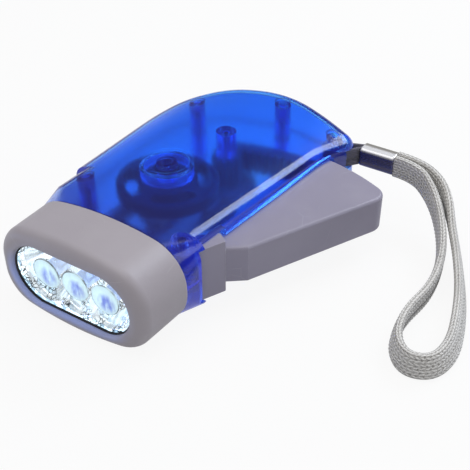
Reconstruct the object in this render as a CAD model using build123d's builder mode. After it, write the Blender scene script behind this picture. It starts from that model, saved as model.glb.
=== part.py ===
from build123d import *
from math import acos, atan2, ceil, cos, degrees, hypot, pi, radians, sin, sqrt, tan
import os

# Squeeze dynamo flashlight, in millimetres.
# The light lies flat: the head faces -Y, the lever swings out on +X, +Z is up.
# The origin is on the resting face, below the middle of the body.

# Overall sizes
body_length = 105.4
body_height = 28.0
grip_half_width = 30.0
crown_radius = 90.0
crown_rise = 0.15
body_edge_fillet = 4.5

# Clearances and the overrun of cuts
seat_gap = 0.15
running_gap = 0.05
moving_gap = 0.4
overrun = 4.0

# Walls
housing_wall = 2.0
bezel_wall = 2.4
spigot_wall = 1.6
lever_wall = 1.8

# Head
head_half_width = 25.6
rim_half_width = 24.2
head_length = 16.7
head_corner_share = 0.43
rim_depth = 1.8
rim_band = 4.6
rim_flat = 0.2
opening_fillet = 0.8
neck_side_half_width = 26.2
neck_length = 8.0
shoulder_length = 11.4
shoulder_half_width = 28.2
slot_wall_x = 24.0
spigot_length = 6.0

# Optics
window_thickness = 1.6
reflector_depth = 6.8
cup_waist_share = 0.82
led_pitch = 10.0
led_radius = 2.5
led_length = 5.4
led_flange_radius = 2.9
led_flange_thickness = 1.0
lead_radius = 0.25
lead_spread = 1.27
board_gap = 1.2
board_thickness = 1.2
lead_stub = 0.9

# Lever, measured from its pivot
pivot_x = 20.0
pivot_set_back = 2.0
pivot_pin_radius = 1.5
pivot_hub_radius = 3.9
pivot_boss_radius = 3.0
pin_seat = 1.6
knuckle_height = 16.6
knuckle_length = 11.0
knuckle_start_radius = 6.6
knuckle_start_angle = 38.0
knuckle_outer_angle = 47.0
knuckle_inner_angle = 64.0
knuckle_rounding = 0.5
bevel_start_radius = 11.4
bevel_start_angle = 46.1
bevel_end_radius = 17.5
bevel_end_angle = 43.2
lever_corner_angle = 58.9
hollow_mouth_angle = 9.0
lever_height = 11.6
lever_reach = 64.5
lever_corner_radius = 5.0
lever_edge_fillet = 1.0
lever_inner_angle = 84.5

# Gears
sector_module = 0.8
sector_teeth = 145
first_pinion_teeth = 10
sector_back = 3.5
sector_tail_angle = 70.0
sector_start_angle = 88.0
sector_end_angle = 115.5
first_gear_angle = 111.3
train_module = 0.6
wheel_teeth = 30
pinion_teeth = 14
wheel_thickness = 2.6
low_wheel_thickness = 1.8
pressure_angle = 20.0
root_share = 1.25
flank_steps = 2
pinion_addendum_share = 0.9
wheel_addendum_share = 0.8
sector_addendum_share = 0.5
tooth_play = 0.06
axle_radius = 1.0
gear_axle_boss_radius = 3.1
low_boss_height = 0.8

# Generator
rotor_left = 23.1
rotor_behind = 24.7
flywheel_radius = 15.0
flywheel_thickness = 3.8
flywheel_headroom = 4.6
rotor_hub_radius = 3.0
magnet_radius = 7.0
magnet_height = 7.0
air_gap = 0.6
pole_thickness = 2.2
pole_opening = 8.0
core_height = 5.0
core_base_z = 10.0
core_reach = 21.0
core_post_radius = 1.8
core_post_reach = 12.5
yoke_depth = 3.8
bobbin_length = 12.0
bobbin_flange_radius = 4.9
bobbin_wall = 0.7
bobbin_core_radius = 3.8
winding_rows = 12
lead_splay = 1.6
winding_radius = 4.5
ratchet_radius = 8.0
ratchet_teeth = 12
ratchet_tooth_depth = 0.9
ratchet_wall = 0.8
ratchet_height = 3.0
pawl_count = 2
lead_wire_radius = 0.45
pawl_offset = 2.6
pawl_length = 4.2
pawl_width = 1.4
ratchet_ramp_share = 0.2
flywheel_windows = 4
flywheel_window_radius = 10.8
flywheel_window_width = 4.0
flywheel_window_angle = 50.0
pin_chamfer_share = 0.3

# Screws
screw_radius = 1.1
screw_head_radius = 2.0
screw_head_height = 1.5
screw_sink = 5.0
screw_length = 16.0
post_radius = 2.55

# Return spring
spring_wire_radius = 0.4
spring_wire_sides = 8
spring_radius = 2.6
spring_pitch = 1.25
spring_turns = 4
spring_leg = 6.5
spring_leg_gap = 0.25
spring_start_angle = 270.0
spring_end_angle = 340.0
spring_stop_width = 2.0
spring_stop_depth = 1.4
spring_stop_top = 13.0

# Wrist strap
strap_width = 7.0
strap_thickness = 2.4
strap_gap = 0.3
arc_share = 0.45
ferrule_length = 11.5
ferrule_depth = 5.6
ferrule_height = 6.4
ferrule_wall = 0.5
ferrule_corner = 1.3
tail_thickness = 1.1
tail_height = 6.0
strap_height = 17.0
ferrule_x = 34.6
ferrule_y = 46.6
window_width = 8.6

# Hub boss and ring under the top shell
hub_ring_radius = 7.8
hub_ring_wall = 1.2
hub_ring_depth = 3.0
slot_gap = 0.6
slot_lead = 0.9
knuckle_lead = 2.0

# Screw posts: two at the back, one on the left, one in the neck
screw_shares = [(0.198, 0.854), (0.898, 0.776), (-0.650, 0.634), (-0.667, -0.400)]

# Places along the body
half_length = body_length / 2
nose_y = -half_length
parting_z = body_height / 2
crown_half_height = parting_z + crown_rise
head_back_y = nose_y + head_length
neck_back_y = head_back_y + neck_length
shoulder_y = neck_back_y + shoulder_length
pivot_y = neck_back_y - pivot_set_back
spigot_front_y = head_back_y - spigot_length
window_front_y = nose_y + rim_depth
reflector_front_y = window_front_y + window_thickness
reflector_back_y = reflector_front_y + reflector_depth
board_front_y = reflector_back_y + led_flange_thickness + board_gap
board_back_y = board_front_y + board_thickness
opening_width = 2 * (rim_half_width - rim_band)
opening_height = body_height - 2 * rim_band
rim_fillet = rim_band - rim_flat - opening_fillet
cup_radius = opening_height / 2
head_corner_radius = head_corner_share * body_height
rim_corner_radius = head_corner_radius - head_half_width + rim_half_width
lever_low_z = parting_z - lever_height / 2
lever_high_z = parting_z + lever_height / 2
knuckle_low_z = parting_z - knuckle_height / 2
knuckle_high_z = parting_z + knuckle_height / 2
floor_z = housing_wall
flywheel_top = body_height - housing_wall - flywheel_headroom


def from_pivot(radius, angle):
    """A point at a radius and an angle in degrees about the lever's pivot."""
    turn = radians(angle)
    return (pivot_x + radius * cos(turn), pivot_y + radius * sin(turn))


def station(y):
    """A plane across the body at y, with its origin on the parting plane."""
    return Plane(origin=(0, y, parting_z), x_dir=(1, 0, 0), z_dir=(0, -1, 0))


def crowned_outline(y, left, right, inset, corner):
    """The body's cross-section at y: two crowned arcs joined by straight sides."""
    radius = crown_radius - inset
    top = crown_half_height - inset
    west = left - inset
    east = right - inset

    def arc_height(x):
        return sqrt(radius**2 - x**2) - radius + top

    with BuildSketch(station(y)) as outline:
        with BuildLine():
            ThreePointArc((-west, arc_height(west)), (0, top), (east, arc_height(east)))
            Line((east, arc_height(east)), (east, -arc_height(east)))
            ThreePointArc((east, -arc_height(east)), (0, -top), (-west, -arc_height(west)))
            Line((-west, -arc_height(west)), (-west, arc_height(west)))
        make_face()
        if corner > inset:
            fillet(outline.vertices(), corner - inset)
    return outline.sketch


def corner_radii(route, shares):
    """Each corner's radius: its share of the shorter run beside it, over the tangent of half its turn."""
    points = [Vector(*point) for point in route]
    radii = []
    for before, corner, after, share in zip(points, points[1:], points[2:], shares):
        turn = (corner - before).get_angle(after - corner)
        shorter = min((corner - before).length, (after - corner).length)
        radii.append(share * shorter / tan(radians(turn / 2)))
    return radii


# The grip's outline seen from above, from the front of the lever's slot round to the left
# shoulder, as shares of its half width and the half length. Each corner is rounded over a
# share of the shorter side beside it.
plan_shares = [
    (0.973, 0.560),
    (1.150, 0.880),
    (0.133, 1.011),
    (-0.567, 0.901),
    (-0.917, 0.674),
    (-1.000, 0.417),
]
plan_corner_shares = [0.18, 0.35, 0.46, 0.53, 0.44, 0.50]


def grip_form(inset):
    """The grip as one solid, each face moved in by the inset."""
    slot_start = (slot_wall_x, neck_back_y)
    shoulder = (-shoulder_half_width, shoulder_y)
    points = [slot_start, *[(x * grip_half_width, y * half_length) for x, y in plan_shares], shoulder]
    middle = -shoulder_half_width / 2
    with BuildPart() as form:
        with BuildSketch():
            with BuildLine():
                FilletPolyline(*points, radius=corner_radii(points, plan_corner_shares))
                Polyline(shoulder, (middle, shoulder_y), (middle, neck_back_y), slot_start)
            make_face()
            if inset:
                offset(amount=-inset, kind=Kind.INTERSECTION)
        extrude(amount=body_height + crown_rise, both=True)
        wide = grip_half_width + 2 * overrun
        section = crowned_outline(half_length + overrun, wide, wide, inset, 0)
        extrude(section, amount=body_length + 2 * overrun, mode=Mode.INTERSECT)
        crowns = form.faces().filter_by(GeomType.CYLINDER).sort_by(SortBy.AREA)[-2:]
        rims = [edge for face in crowns for edge in face.edges()]
        hidden = (middle + inset, shoulder_y + inset, neck_back_y + inset)
        side_rims = [
            edge
            for edge in rims
            if abs(edge.center().X - hidden[0]) > running_gap
            and abs(edge.center().Y - hidden[1]) > running_gap
            and abs(edge.center().Y - hidden[2]) > running_gap
        ]
        fillet(side_rims, body_edge_fillet - inset)
    return form.part


def neck_form(inset):
    """The neck between the head and the grip, round at the head and square at the slot."""
    front_y = head_back_y + (spigot_wall if inset else 0)
    front = crowned_outline(front_y, head_half_width, head_half_width, inset, head_corner_radius)
    back = crowned_outline(neck_back_y, head_half_width, neck_side_half_width, inset, body_edge_fillet)
    inner_end = shoulder_half_width / 2
    left = crowned_outline(neck_back_y, head_half_width, inner_end, inset, body_edge_fillet)
    bridge = crowned_outline(neck_back_y, head_half_width, slot_wall_x, inset, body_edge_fillet)
    with BuildPart() as form:
        loft([front, back], ruled=True)
        extrude(left, amount=neck_back_y - shoulder_y - overrun)
        if inset:
            extrude(bridge, amount=-inset - seat_gap)
    return form.part


def write(builder, name):
    """Label a finished piece and write its STEP file."""
    builder.part.label = name
    export_step(builder.part, f"parts/{name}.step")


os.makedirs("parts", exist_ok=True)

# Gear tooth outlines

def involute(angle):
    """The involute function of a pressure angle."""
    return tan(angle) - angle


def tooth_half_angle(teeth, module, radius, play):
    """Half the angle that an involute tooth takes at a radius, less the play on its flank."""
    base = module * teeth / 2 * cos(radians(pressure_angle))
    at_radius = acos(min(1.0, base / radius))
    pitch_half = pi / (2 * teeth)
    return pitch_half + involute(radians(pressure_angle)) - involute(at_radius) - play / radius


def gear_points(teeth, module, addendum_share, phase):
    """The outline of an external gear, one tooth centred on the phase angle in degrees."""
    pitch_radius = module * teeth / 2
    base = pitch_radius * cos(radians(pressure_angle))
    tip = pitch_radius + module * addendum_share
    root = pitch_radius - module * root_share
    start = max(base, root)
    radii = [start + (tip - start) * step / flank_steps for step in range(flank_steps + 1)]
    if root < start:
        radii = [root] + radii
    points = []
    for tooth in range(teeth):
        middle = radians(phase) + 2 * pi * tooth / teeth
        rising = [(r, middle - tooth_half_angle(teeth, module, r, tooth_play)) for r in radii]
        falling = [(r, 2 * middle - angle) for r, angle in reversed(rising)]
        points += [(r * cos(angle), r * sin(angle)) for r, angle in rising + falling]
    return points


def sector_flank(middle, side):
    """One flank of a space in the sector: points from the tooth tip out to the root."""
    tip = sector_radius - sector_module * sector_addendum_share
    root = sector_radius + sector_module * root_share
    points = []
    for step in range(flank_steps + 1):
        radius = tip + (root - tip) * step / flank_steps
        half = degrees(tooth_half_angle(sector_teeth, sector_module, radius, -tooth_play))
        points.append(from_pivot(radius, middle + side * half))
    return points


def gear(outline_points, low_z, high_z):
    """A toothed disc between two heights, round the local origin."""
    with BuildPart() as disc:
        with BuildSketch(Plane.XY.offset(low_z)):
            with BuildLine():
                Polyline(*outline_points, close=True)
            make_face()
        extrude(amount=high_z - low_z)
    return disc.part


# Gear centres and directions
sector_radius = sector_module * sector_teeth / 2
first_pinion_radius = sector_module * first_pinion_teeth / 2
rotor_x, rotor_y = pivot_x - rotor_left, pivot_y + rotor_behind
first_x, first_y = from_pivot(sector_radius - first_pinion_radius, first_gear_angle)
train_distance = train_module * (wheel_teeth + pinion_teeth) / 2
span = hypot(rotor_x - first_x, rotor_y - first_y)
bow = sqrt(train_distance**2 - (span / 2) ** 2)
second_x = (first_x + rotor_x) / 2 - bow * (rotor_y - first_y) / span
second_y = (first_y + rotor_y) / 2 + bow * (rotor_x - first_x) / span
to_second = degrees(atan2(second_y - first_y, second_x - first_x))
to_rotor = degrees(atan2(rotor_y - second_y, rotor_x - second_x))
half_space = 180 / pinion_teeth

# Heights of the gear train, from the floor up
low_boss_z = floor_z + low_boss_height
low_wheel_z = low_boss_z + running_gap * 4
second_pinion_z = low_wheel_z + low_wheel_thickness
first_wheel_z = second_pinion_z + moving_gap
second_top_z = first_wheel_z + wheel_thickness
first_top_z = lever_high_z - lever_wall
axle_bottom_z = floor_z / 2
axle_top_z = body_height - 1.5 * housing_wall
pin_bottom_z = knuckle_low_z - slot_gap / 2 - pin_seat
pin_top_z = knuckle_high_z + slot_gap / 2 + pin_seat

# Housing
screw_places = [(x * grip_half_width, y * half_length) for x, y in screw_shares]
strap_post = screw_places[1]
tail_inner = post_radius + seat_gap
yoke_y = rotor_y - core_reach
pole_inner_radius = magnet_radius + air_gap
pole_outer_radius = pole_inner_radius + pole_thickness
arm_offset = pole_inner_radius + pole_thickness / 2
core_posts = [(rotor_x + side * arm_offset, rotor_y - core_post_reach) for side in (-1, 1)]

outer_form = grip_form(0).fuse(neck_form(0))
inner_form = grip_form(housing_wall).fuse(neck_form(housing_wall))
spigot_inset = bezel_wall + seat_gap
spigot = crowned_outline(head_back_y, head_half_width, head_half_width, spigot_inset, head_corner_radius)
spigot_bore = crowned_outline(
    head_back_y, head_half_width, head_half_width, spigot_inset + spigot_wall, head_corner_radius
)

with BuildPart() as shell:
    add(outer_form)
    extrude(spigot, amount=spigot_length)
    add(inner_form, mode=Mode.SUBTRACT)
    extrude(spigot_bore, amount=spigot_length + overrun, mode=Mode.SUBTRACT)
    extrude(spigot_bore, amount=-spigot_wall - seat_gap, mode=Mode.SUBTRACT)
    split(bisect_by=Plane.XY, keep=Keep.TOP)
    # Slot for the lever, ending on an arc round the pivot
    with BuildSketch(Plane.XY.offset(lever_low_z - slot_gap)):
        with Locations((pivot_x, pivot_y)):
            Circle(lever_reach + slot_gap)
        with Locations((pivot_x, neck_back_y - slot_lead)):
            Rectangle(body_length, body_length, align=(Align.MIN, Align.MIN), mode=Mode.INTERSECT)
    extrude(amount=lever_height + 2 * slot_gap, mode=Mode.SUBTRACT)
    with BuildSketch(Plane.XY.offset(knuckle_low_z - slot_gap / 2)):
        with Locations((pivot_x, neck_back_y - knuckle_lead)):
            Rectangle(body_length, knuckle_length + knuckle_lead, align=(Align.MIN, Align.MIN))
        with Locations((pivot_x, pivot_y)):
            Circle(pivot_hub_radius + slot_gap)
    extrude(amount=knuckle_height + slot_gap, mode=Mode.SUBTRACT)

with BuildPart() as outer_trim:
    add(outer_form)
    extrude(spigot, amount=spigot_length)

with BuildPart() as housing_top:
    add(shell.part)
    split(bisect_by=Plane.XY.offset(parting_z), keep=Keep.TOP)
    # Window for the wrist strap, with room for its loop, cut up from the parting line
    tail_angle = degrees(atan2(ferrule_y - strap_post[1], ferrule_x - strap_post[0]))
    with BuildSketch(Plane(origin=(*strap_post, parting_z), x_dir=Vector(1, 0, 0).rotate(Axis.Z, tail_angle))):
        Circle(tail_inner + tail_thickness + seat_gap)
        Rectangle(grip_half_width, window_width, align=(Align.MIN, Align.CENTER))
    extrude(amount=strap_height + tail_height / 2 + moving_gap - parting_z, mode=Mode.SUBTRACT)
    with BuildSketch(Plane.XY.offset(parting_z)):
        with Locations(*screw_places):
            Circle(post_radius)
    extrude(amount=parting_z)
    with BuildSketch(Plane.XY.offset(first_top_z + moving_gap)):
        with Locations((first_x, first_y)):
            Circle(gear_axle_boss_radius)
    extrude(amount=parting_z)
    with BuildSketch(Plane.XY.offset(flywheel_top + moving_gap)):
        with Locations((rotor_x, rotor_y)):
            Circle(rotor_hub_radius)
    extrude(amount=parting_z)
    with BuildSketch(Plane.XY.offset(body_height - housing_wall - hub_ring_depth)):
        with Locations((rotor_x, rotor_y)):
            Circle(hub_ring_radius)
            Circle(hub_ring_radius - hub_ring_wall, mode=Mode.SUBTRACT)
    extrude(amount=parting_z)
    with BuildSketch(Plane.XY.offset(knuckle_high_z + slot_gap / 2)):
        with Locations((pivot_x, pivot_y)):
            Circle(pivot_boss_radius)
    extrude(amount=parting_z)
    add(outer_trim.part, mode=Mode.INTERSECT)
    # Bores for the axles, the lever's pin and the screws
    with BuildSketch(Plane.XY.offset(parting_z)):
        with Locations((first_x, first_y), (rotor_x, rotor_y)):
            Circle(axle_radius + running_gap)
        with Locations(*screw_places):
            Circle(screw_radius + running_gap)
    extrude(amount=axle_top_z - parting_z, mode=Mode.SUBTRACT)
    with BuildSketch(Plane.XY.offset(parting_z)):
        with Locations((pivot_x, pivot_y)):
            Circle(pivot_pin_radius + running_gap)
    extrude(amount=pin_top_z - parting_z, mode=Mode.SUBTRACT)
write(housing_top, "housing_top")

with BuildPart() as housing_bottom:
    add(shell.part)
    split(bisect_by=Plane.XY.offset(parting_z), keep=Keep.BOTTOM)
    with BuildSketch():
        with Locations(*screw_places):
            Circle(post_radius)
    extrude(amount=parting_z)
    with BuildSketch():
        with Locations(*core_posts):
            Circle(core_post_radius)
    extrude(amount=core_base_z)
    with BuildSketch():
        with Locations((first_x, first_y)):
            Circle(gear_axle_boss_radius)
    extrude(amount=first_wheel_z - moving_gap)
    with BuildSketch():
        with Locations((second_x, second_y), (rotor_x, rotor_y)):
            Circle(post_radius)
    extrude(amount=low_boss_z)
    with BuildSketch():
        with Locations((pivot_x, pivot_y)):
            Circle(pivot_boss_radius)
    extrude(amount=knuckle_low_z - slot_gap / 2)
    with BuildSketch():
        leg_end_x, leg_end_y = pivot_x - spring_leg, pivot_y - spring_radius
        with Locations((leg_end_x, leg_end_y - spring_wire_radius - running_gap)):
            Rectangle(spring_stop_width, spring_stop_depth, align=(Align.CENTER, Align.MAX))
    extrude(amount=spring_stop_top)
    add(outer_trim.part, mode=Mode.INTERSECT)
    # Bores for the axles and the lever's pin
    with BuildSketch(Plane.XY.offset(axle_bottom_z)):
        with Locations((first_x, first_y), (second_x, second_y), (rotor_x, rotor_y)):
            Circle(axle_radius + running_gap)
    extrude(amount=parting_z, mode=Mode.SUBTRACT)
    with BuildSketch(Plane.XY.offset(pin_bottom_z)):
        with Locations((pivot_x, pivot_y)):
            Circle(pivot_pin_radius + running_gap)
    extrude(amount=parting_z, mode=Mode.SUBTRACT)
    # Screw holes, with the heads sunk from below
    with BuildSketch():
        with Locations(*screw_places):
            Circle(screw_radius + running_gap)
    extrude(amount=parting_z, mode=Mode.SUBTRACT)
    with BuildSketch():
        with Locations(*screw_places):
            Circle(screw_head_radius + seat_gap)
    extrude(amount=screw_sink, mode=Mode.SUBTRACT)
write(housing_bottom, "housing_bottom")

with BuildPart() as housing_screws:
    with BuildSketch(Plane.XY.offset(screw_sink - screw_head_height)):
        with Locations(*screw_places):
            Circle(screw_head_radius)
    extrude(amount=screw_head_height)
    with BuildSketch(Plane.XY.offset(screw_sink)):
        with Locations(*screw_places):
            Circle(screw_radius)
    extrude(amount=screw_length)
    chamfer(housing_screws.faces().sort_by(Axis.Z)[-4:].edges(), screw_radius / 2)
write(housing_screws, "housing_screws")

# Head
rim_outline = crowned_outline(nose_y, rim_half_width, rim_half_width, 0, rim_corner_radius)
neck_outline = crowned_outline(head_back_y, head_half_width, head_half_width, 0, head_corner_radius)
optics_outline = crowned_outline(window_front_y, rim_half_width, rim_half_width, bezel_wall, rim_corner_radius)
socket_outline = crowned_outline(head_back_y, head_half_width, head_half_width, bezel_wall, head_corner_radius)

with BuildPart() as head_bezel:
    loft([rim_outline, neck_outline], ruled=True)
    fillet(head_bezel.faces().sort_by(Axis.Y)[0].edges(), rim_fillet)
    split(bisect_by=Plane.XY, keep=Keep.TOP)
    extrude(optics_outline, amount=-head_length, mode=Mode.SUBTRACT)
    extrude(socket_outline, amount=spigot_length + seat_gap, mode=Mode.SUBTRACT)
    with BuildSketch(station(nose_y)):
        SlotOverall(opening_width, opening_height)
    extrude(amount=-rim_depth, mode=Mode.SUBTRACT)
    fillet(head_bezel.faces().sort_by(Axis.Y)[0].inner_wires()[0].edges(), opening_fillet)
write(head_bezel, "head_bezel")

with BuildPart() as lens_window:
    optics_fit = crowned_outline(
        window_front_y, rim_half_width, rim_half_width, bezel_wall + seat_gap, rim_corner_radius
    )
    extrude(optics_fit, amount=-window_thickness)
write(lens_window, "lens_window")

led_places = [(-led_pitch, "led_left"), (0, "led_middle"), (led_pitch, "led_right")]

with BuildPart() as reflector:
    reflector_outline = crowned_outline(
        reflector_front_y, rim_half_width, rim_half_width, bezel_wall + seat_gap, rim_corner_radius
    )
    extrude(reflector_outline, amount=-reflector_depth)
    for led_x, _ in led_places:
        cup_axis = Axis((led_x, 0, parting_z), (0, 1, 0))
        with BuildSketch(Plane.XY.offset(parting_z)):
            with BuildLine():
                mouth = (led_x + cup_radius, reflector_front_y)
                waist = (led_x + cup_waist_share * cup_radius, reflector_front_y + reflector_depth / 2)
                throat = (led_x + led_radius + seat_gap, reflector_back_y)
                ThreePointArc(mouth, waist, throat)
                Polyline(throat, (led_x, reflector_back_y), (led_x, reflector_front_y), mouth)
            make_face()
        revolve(axis=cup_axis, mode=Mode.SUBTRACT)
write(reflector, "reflector")

for led_x, led_name in led_places:
    with BuildPart() as led:
        with BuildSketch(station(reflector_back_y)):
            with Locations((led_x, 0)):
                Circle(led_radius)
        extrude(amount=led_length - led_radius)
        with Locations((led_x, reflector_back_y - led_length + led_radius, parting_z)):
            Sphere(led_radius)
        with BuildSketch(station(reflector_back_y)):
            with Locations((led_x, 0)):
                Circle(led_flange_radius)
        extrude(amount=-led_flange_thickness)
        with BuildSketch(station(reflector_back_y + led_flange_thickness)):
            with Locations((led_x - lead_spread, 0), (led_x + lead_spread, 0)):
                Circle(lead_radius)
        extrude(amount=-board_gap - board_thickness - lead_stub)
    write(led, led_name)

with BuildPart() as led_board:
    board_outline = crowned_outline(
        board_front_y, head_half_width, head_half_width, spigot_inset + spigot_wall + seat_gap, head_corner_radius
    )
    extrude(board_outline, amount=-board_thickness)
    with BuildSketch(station(board_front_y)):
        for led_x, _ in led_places:
            with Locations((led_x - lead_spread, 0), (led_x + lead_spread, 0)):
                Circle(lead_radius + running_gap)
    extrude(amount=-board_thickness, mode=Mode.SUBTRACT)
write(led_board, "led_board")

# Lever and its hinge
bevel_start = from_pivot(bevel_start_radius, bevel_start_angle)
bevel_end = from_pivot(bevel_end_radius, bevel_end_angle)
lever_corner = from_pivot(lever_reach, lever_corner_angle)
lever_inner_end = from_pivot(lever_reach, lever_inner_angle)
lever_arc_middle = from_pivot(lever_reach, (lever_corner_angle + lever_inner_angle) / 2)
lever_inner_start = from_pivot(knuckle_start_radius, lever_inner_angle)
knuckle_points = [
    from_pivot(knuckle_start_radius, knuckle_start_angle),
    from_pivot(knuckle_length, knuckle_outer_angle),
    from_pivot(knuckle_length, knuckle_inner_angle),
]

with BuildPart() as squeeze_lever:
    with BuildSketch(Plane.XY.offset(lever_low_z)) as lever_plan:
        with BuildLine():
            Polyline(lever_inner_end, lever_inner_start, bevel_start, bevel_end, lever_corner)
            ThreePointArc(lever_corner, lever_arc_middle, lever_inner_end)
        make_face()
        outer_corner = lever_plan.vertices().sort_by_distance((*lever_corner, lever_low_z))[0]
        fillet(outer_corner, lever_corner_radius)
    extrude(amount=lever_height)
    low_and_high = squeeze_lever.faces().sort_by(Axis.Z)
    fillet(low_and_high[0].edges() + low_and_high[-1].edges(), lever_edge_fillet)
    # The hollow between the two plates, open towards the housing
    with BuildSketch(Plane.XY.offset(lever_low_z + lever_wall)):
        add(offset(lever_plan.sketch, amount=-lever_wall, mode=Mode.PRIVATE))
        with BuildLine():
            mouth_low = from_pivot(lever_reach - lever_wall, lever_inner_angle - hollow_mouth_angle)
            mouth_high = from_pivot(lever_reach - lever_wall, lever_inner_angle + hollow_mouth_angle)
            ThreePointArc(mouth_low, from_pivot(lever_reach - lever_wall, lever_inner_angle), mouth_high)
            Polyline(
                mouth_high,
                from_pivot(bevel_end_radius, lever_inner_angle + hollow_mouth_angle),
                from_pivot(bevel_end_radius, lever_inner_angle - hollow_mouth_angle),
                mouth_low,
            )
        make_face()
    extrude(amount=lever_height - 2 * lever_wall, mode=Mode.SUBTRACT)
    # Knuckle round the pin
    with BuildSketch(Plane.XY.offset(knuckle_low_z)):
        with Locations((pivot_x, pivot_y)):
            Circle(pivot_hub_radius)
        with Locations(*knuckle_points):
            Circle(knuckle_rounding)
        make_hull()
    extrude(amount=knuckle_height)
    # Pocket and channel for the return spring, and the pin's bore
    with BuildSketch(Plane.XY.offset(lever_low_z + lever_wall)):
        with Locations((pivot_x, pivot_y)):
            Circle(pivot_hub_radius + moving_gap)
        with Locations(Location((*from_pivot(spring_radius, spring_end_angle), 0), (0, 0, spring_end_angle + 90))):
            SlotCenterPoint((spring_leg / 2, 0), (spring_leg, 0), 2 * (spring_wire_radius + spring_leg_gap))
    extrude(amount=lever_height - 2 * lever_wall, mode=Mode.SUBTRACT)
    with BuildSketch(Plane.XY.offset(knuckle_low_z)):
        with Locations((pivot_x, pivot_y)):
            Circle(pivot_pin_radius + running_gap)
    extrude(amount=knuckle_height, mode=Mode.SUBTRACT)
write(squeeze_lever, "squeeze_lever")

with BuildPart() as lever_pin:
    with BuildSketch(Plane.XY.offset(pin_bottom_z)):
        with Locations((pivot_x, pivot_y)):
            Circle(pivot_pin_radius)
    extrude(amount=pin_top_z - pin_bottom_z)
    chamfer(lever_pin.edges().filter_by(GeomType.CIRCLE), pivot_pin_radius * pin_chamfer_share)
write(lever_pin, "lever_pin")

# Toothed sector, internal teeth facing the pivot
tooth_angle = 360 / sector_teeth
tooth_count_low = int((first_gear_angle - sector_start_angle) / tooth_angle)
tooth_count_high = int((sector_end_angle - first_gear_angle) / tooth_angle)
sector_outer_radius = sector_radius + sector_module * root_share + sector_back
sector_low_z = lever_low_z + lever_wall + seat_gap
sector_high_z = lever_high_z - lever_wall - seat_gap
sector_tip_radius = sector_radius - sector_module * sector_addendum_share

with BuildPart() as sector_rack:
    with BuildSketch(Plane.XY.offset(sector_low_z)):
        toothed_edge = [from_pivot(sector_tip_radius, sector_start_angle)]
        for tooth in range(-tooth_count_low, tooth_count_high + 1):
            space = first_gear_angle + tooth * tooth_angle
            toothed_edge += sector_flank(space, -1)
            toothed_edge += reversed(sector_flank(space, 1))
        toothed_edge.append(from_pivot(sector_tip_radius, sector_end_angle))
        with BuildLine():
            Polyline(*toothed_edge)
            Line(toothed_edge[-1], from_pivot(sector_outer_radius, sector_end_angle))
            ThreePointArc(
                from_pivot(sector_outer_radius, sector_end_angle),
                from_pivot(sector_outer_radius, (sector_end_angle + sector_tail_angle) / 2),
                from_pivot(sector_outer_radius, sector_tail_angle),
            )
            Line(
                from_pivot(sector_outer_radius, sector_tail_angle),
                from_pivot(sector_outer_radius - sector_back, sector_tail_angle),
            )
            ThreePointArc(
                from_pivot(sector_outer_radius - sector_back, sector_tail_angle),
                from_pivot(sector_outer_radius - sector_back, (sector_tail_angle + sector_start_angle) / 2),
                from_pivot(sector_outer_radius - sector_back, sector_start_angle),
            )
            Line(from_pivot(sector_outer_radius - sector_back, sector_start_angle), toothed_edge[0])
        make_face()
    extrude(amount=sector_high_z - sector_low_z)
write(sector_rack, "sector_rack")


def axle(x, y, radius, low_z, high_z, name):
    """A plain steel pin, chamfered at both ends."""
    with BuildPart() as pin:
        with BuildSketch(Plane.XY.offset(low_z)):
            with Locations((x, y)):
                Circle(radius)
        extrude(amount=high_z - low_z)
        chamfer(pin.edges().filter_by(GeomType.CIRCLE), radius * pin_chamfer_share)
    write(pin, name)


axle(first_x, first_y, axle_radius, axle_bottom_z, axle_top_z, "first_gear_axle")
axle(second_x, second_y, axle_radius, axle_bottom_z, second_top_z + moving_gap, "second_gear_axle")
axle(rotor_x, rotor_y, axle_radius, axle_bottom_z, axle_top_z, "flywheel_axle")


def compound_gear(x, y, layers):
    """Toothed discs on one axle: each layer has its outline, its low and its high z."""
    with BuildPart() as compound:
        with Locations((x, y)):
            for points, low_z, high_z in layers:
                add(gear(points, low_z, high_z))
            with Locations((0, 0, layers[0][1])):
                Cylinder(
                    axle_radius + running_gap,
                    body_height,
                    align=(Align.CENTER, Align.CENTER, Align.CENTER),
                    mode=Mode.SUBTRACT,
                )
    return compound


first_pinion = gear_points(first_pinion_teeth, sector_module, pinion_addendum_share, first_gear_angle)
first_wheel = gear_points(wheel_teeth, train_module, wheel_addendum_share, to_second)
second_pinion = gear_points(pinion_teeth, train_module, pinion_addendum_share, to_second + 180 + half_space)
second_wheel = gear_points(wheel_teeth, train_module, wheel_addendum_share, to_rotor)
clutch_pinion_outline = gear_points(
    pinion_teeth, train_module, pinion_addendum_share, to_rotor + 180 + half_space
)

first_gear = compound_gear(
    first_x,
    first_y,
    [(first_wheel, first_wheel_z, second_top_z), (first_pinion, second_top_z, first_top_z)],
)
write(first_gear, "first_gear")
second_gear = compound_gear(
    second_x,
    second_y,
    [(second_wheel, low_wheel_z, second_pinion_z), (second_pinion, second_pinion_z, second_top_z)],
)
write(second_gear, "second_gear")

# One-way clutch: a pinion with sprung pawls inside a toothed ring under the flywheel
pawl_low_z = second_pinion_z + moving_gap
ratchet_high_z = pawl_low_z + ratchet_height
pawl_high_z = ratchet_high_z - ratchet_wall - moving_gap

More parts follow.
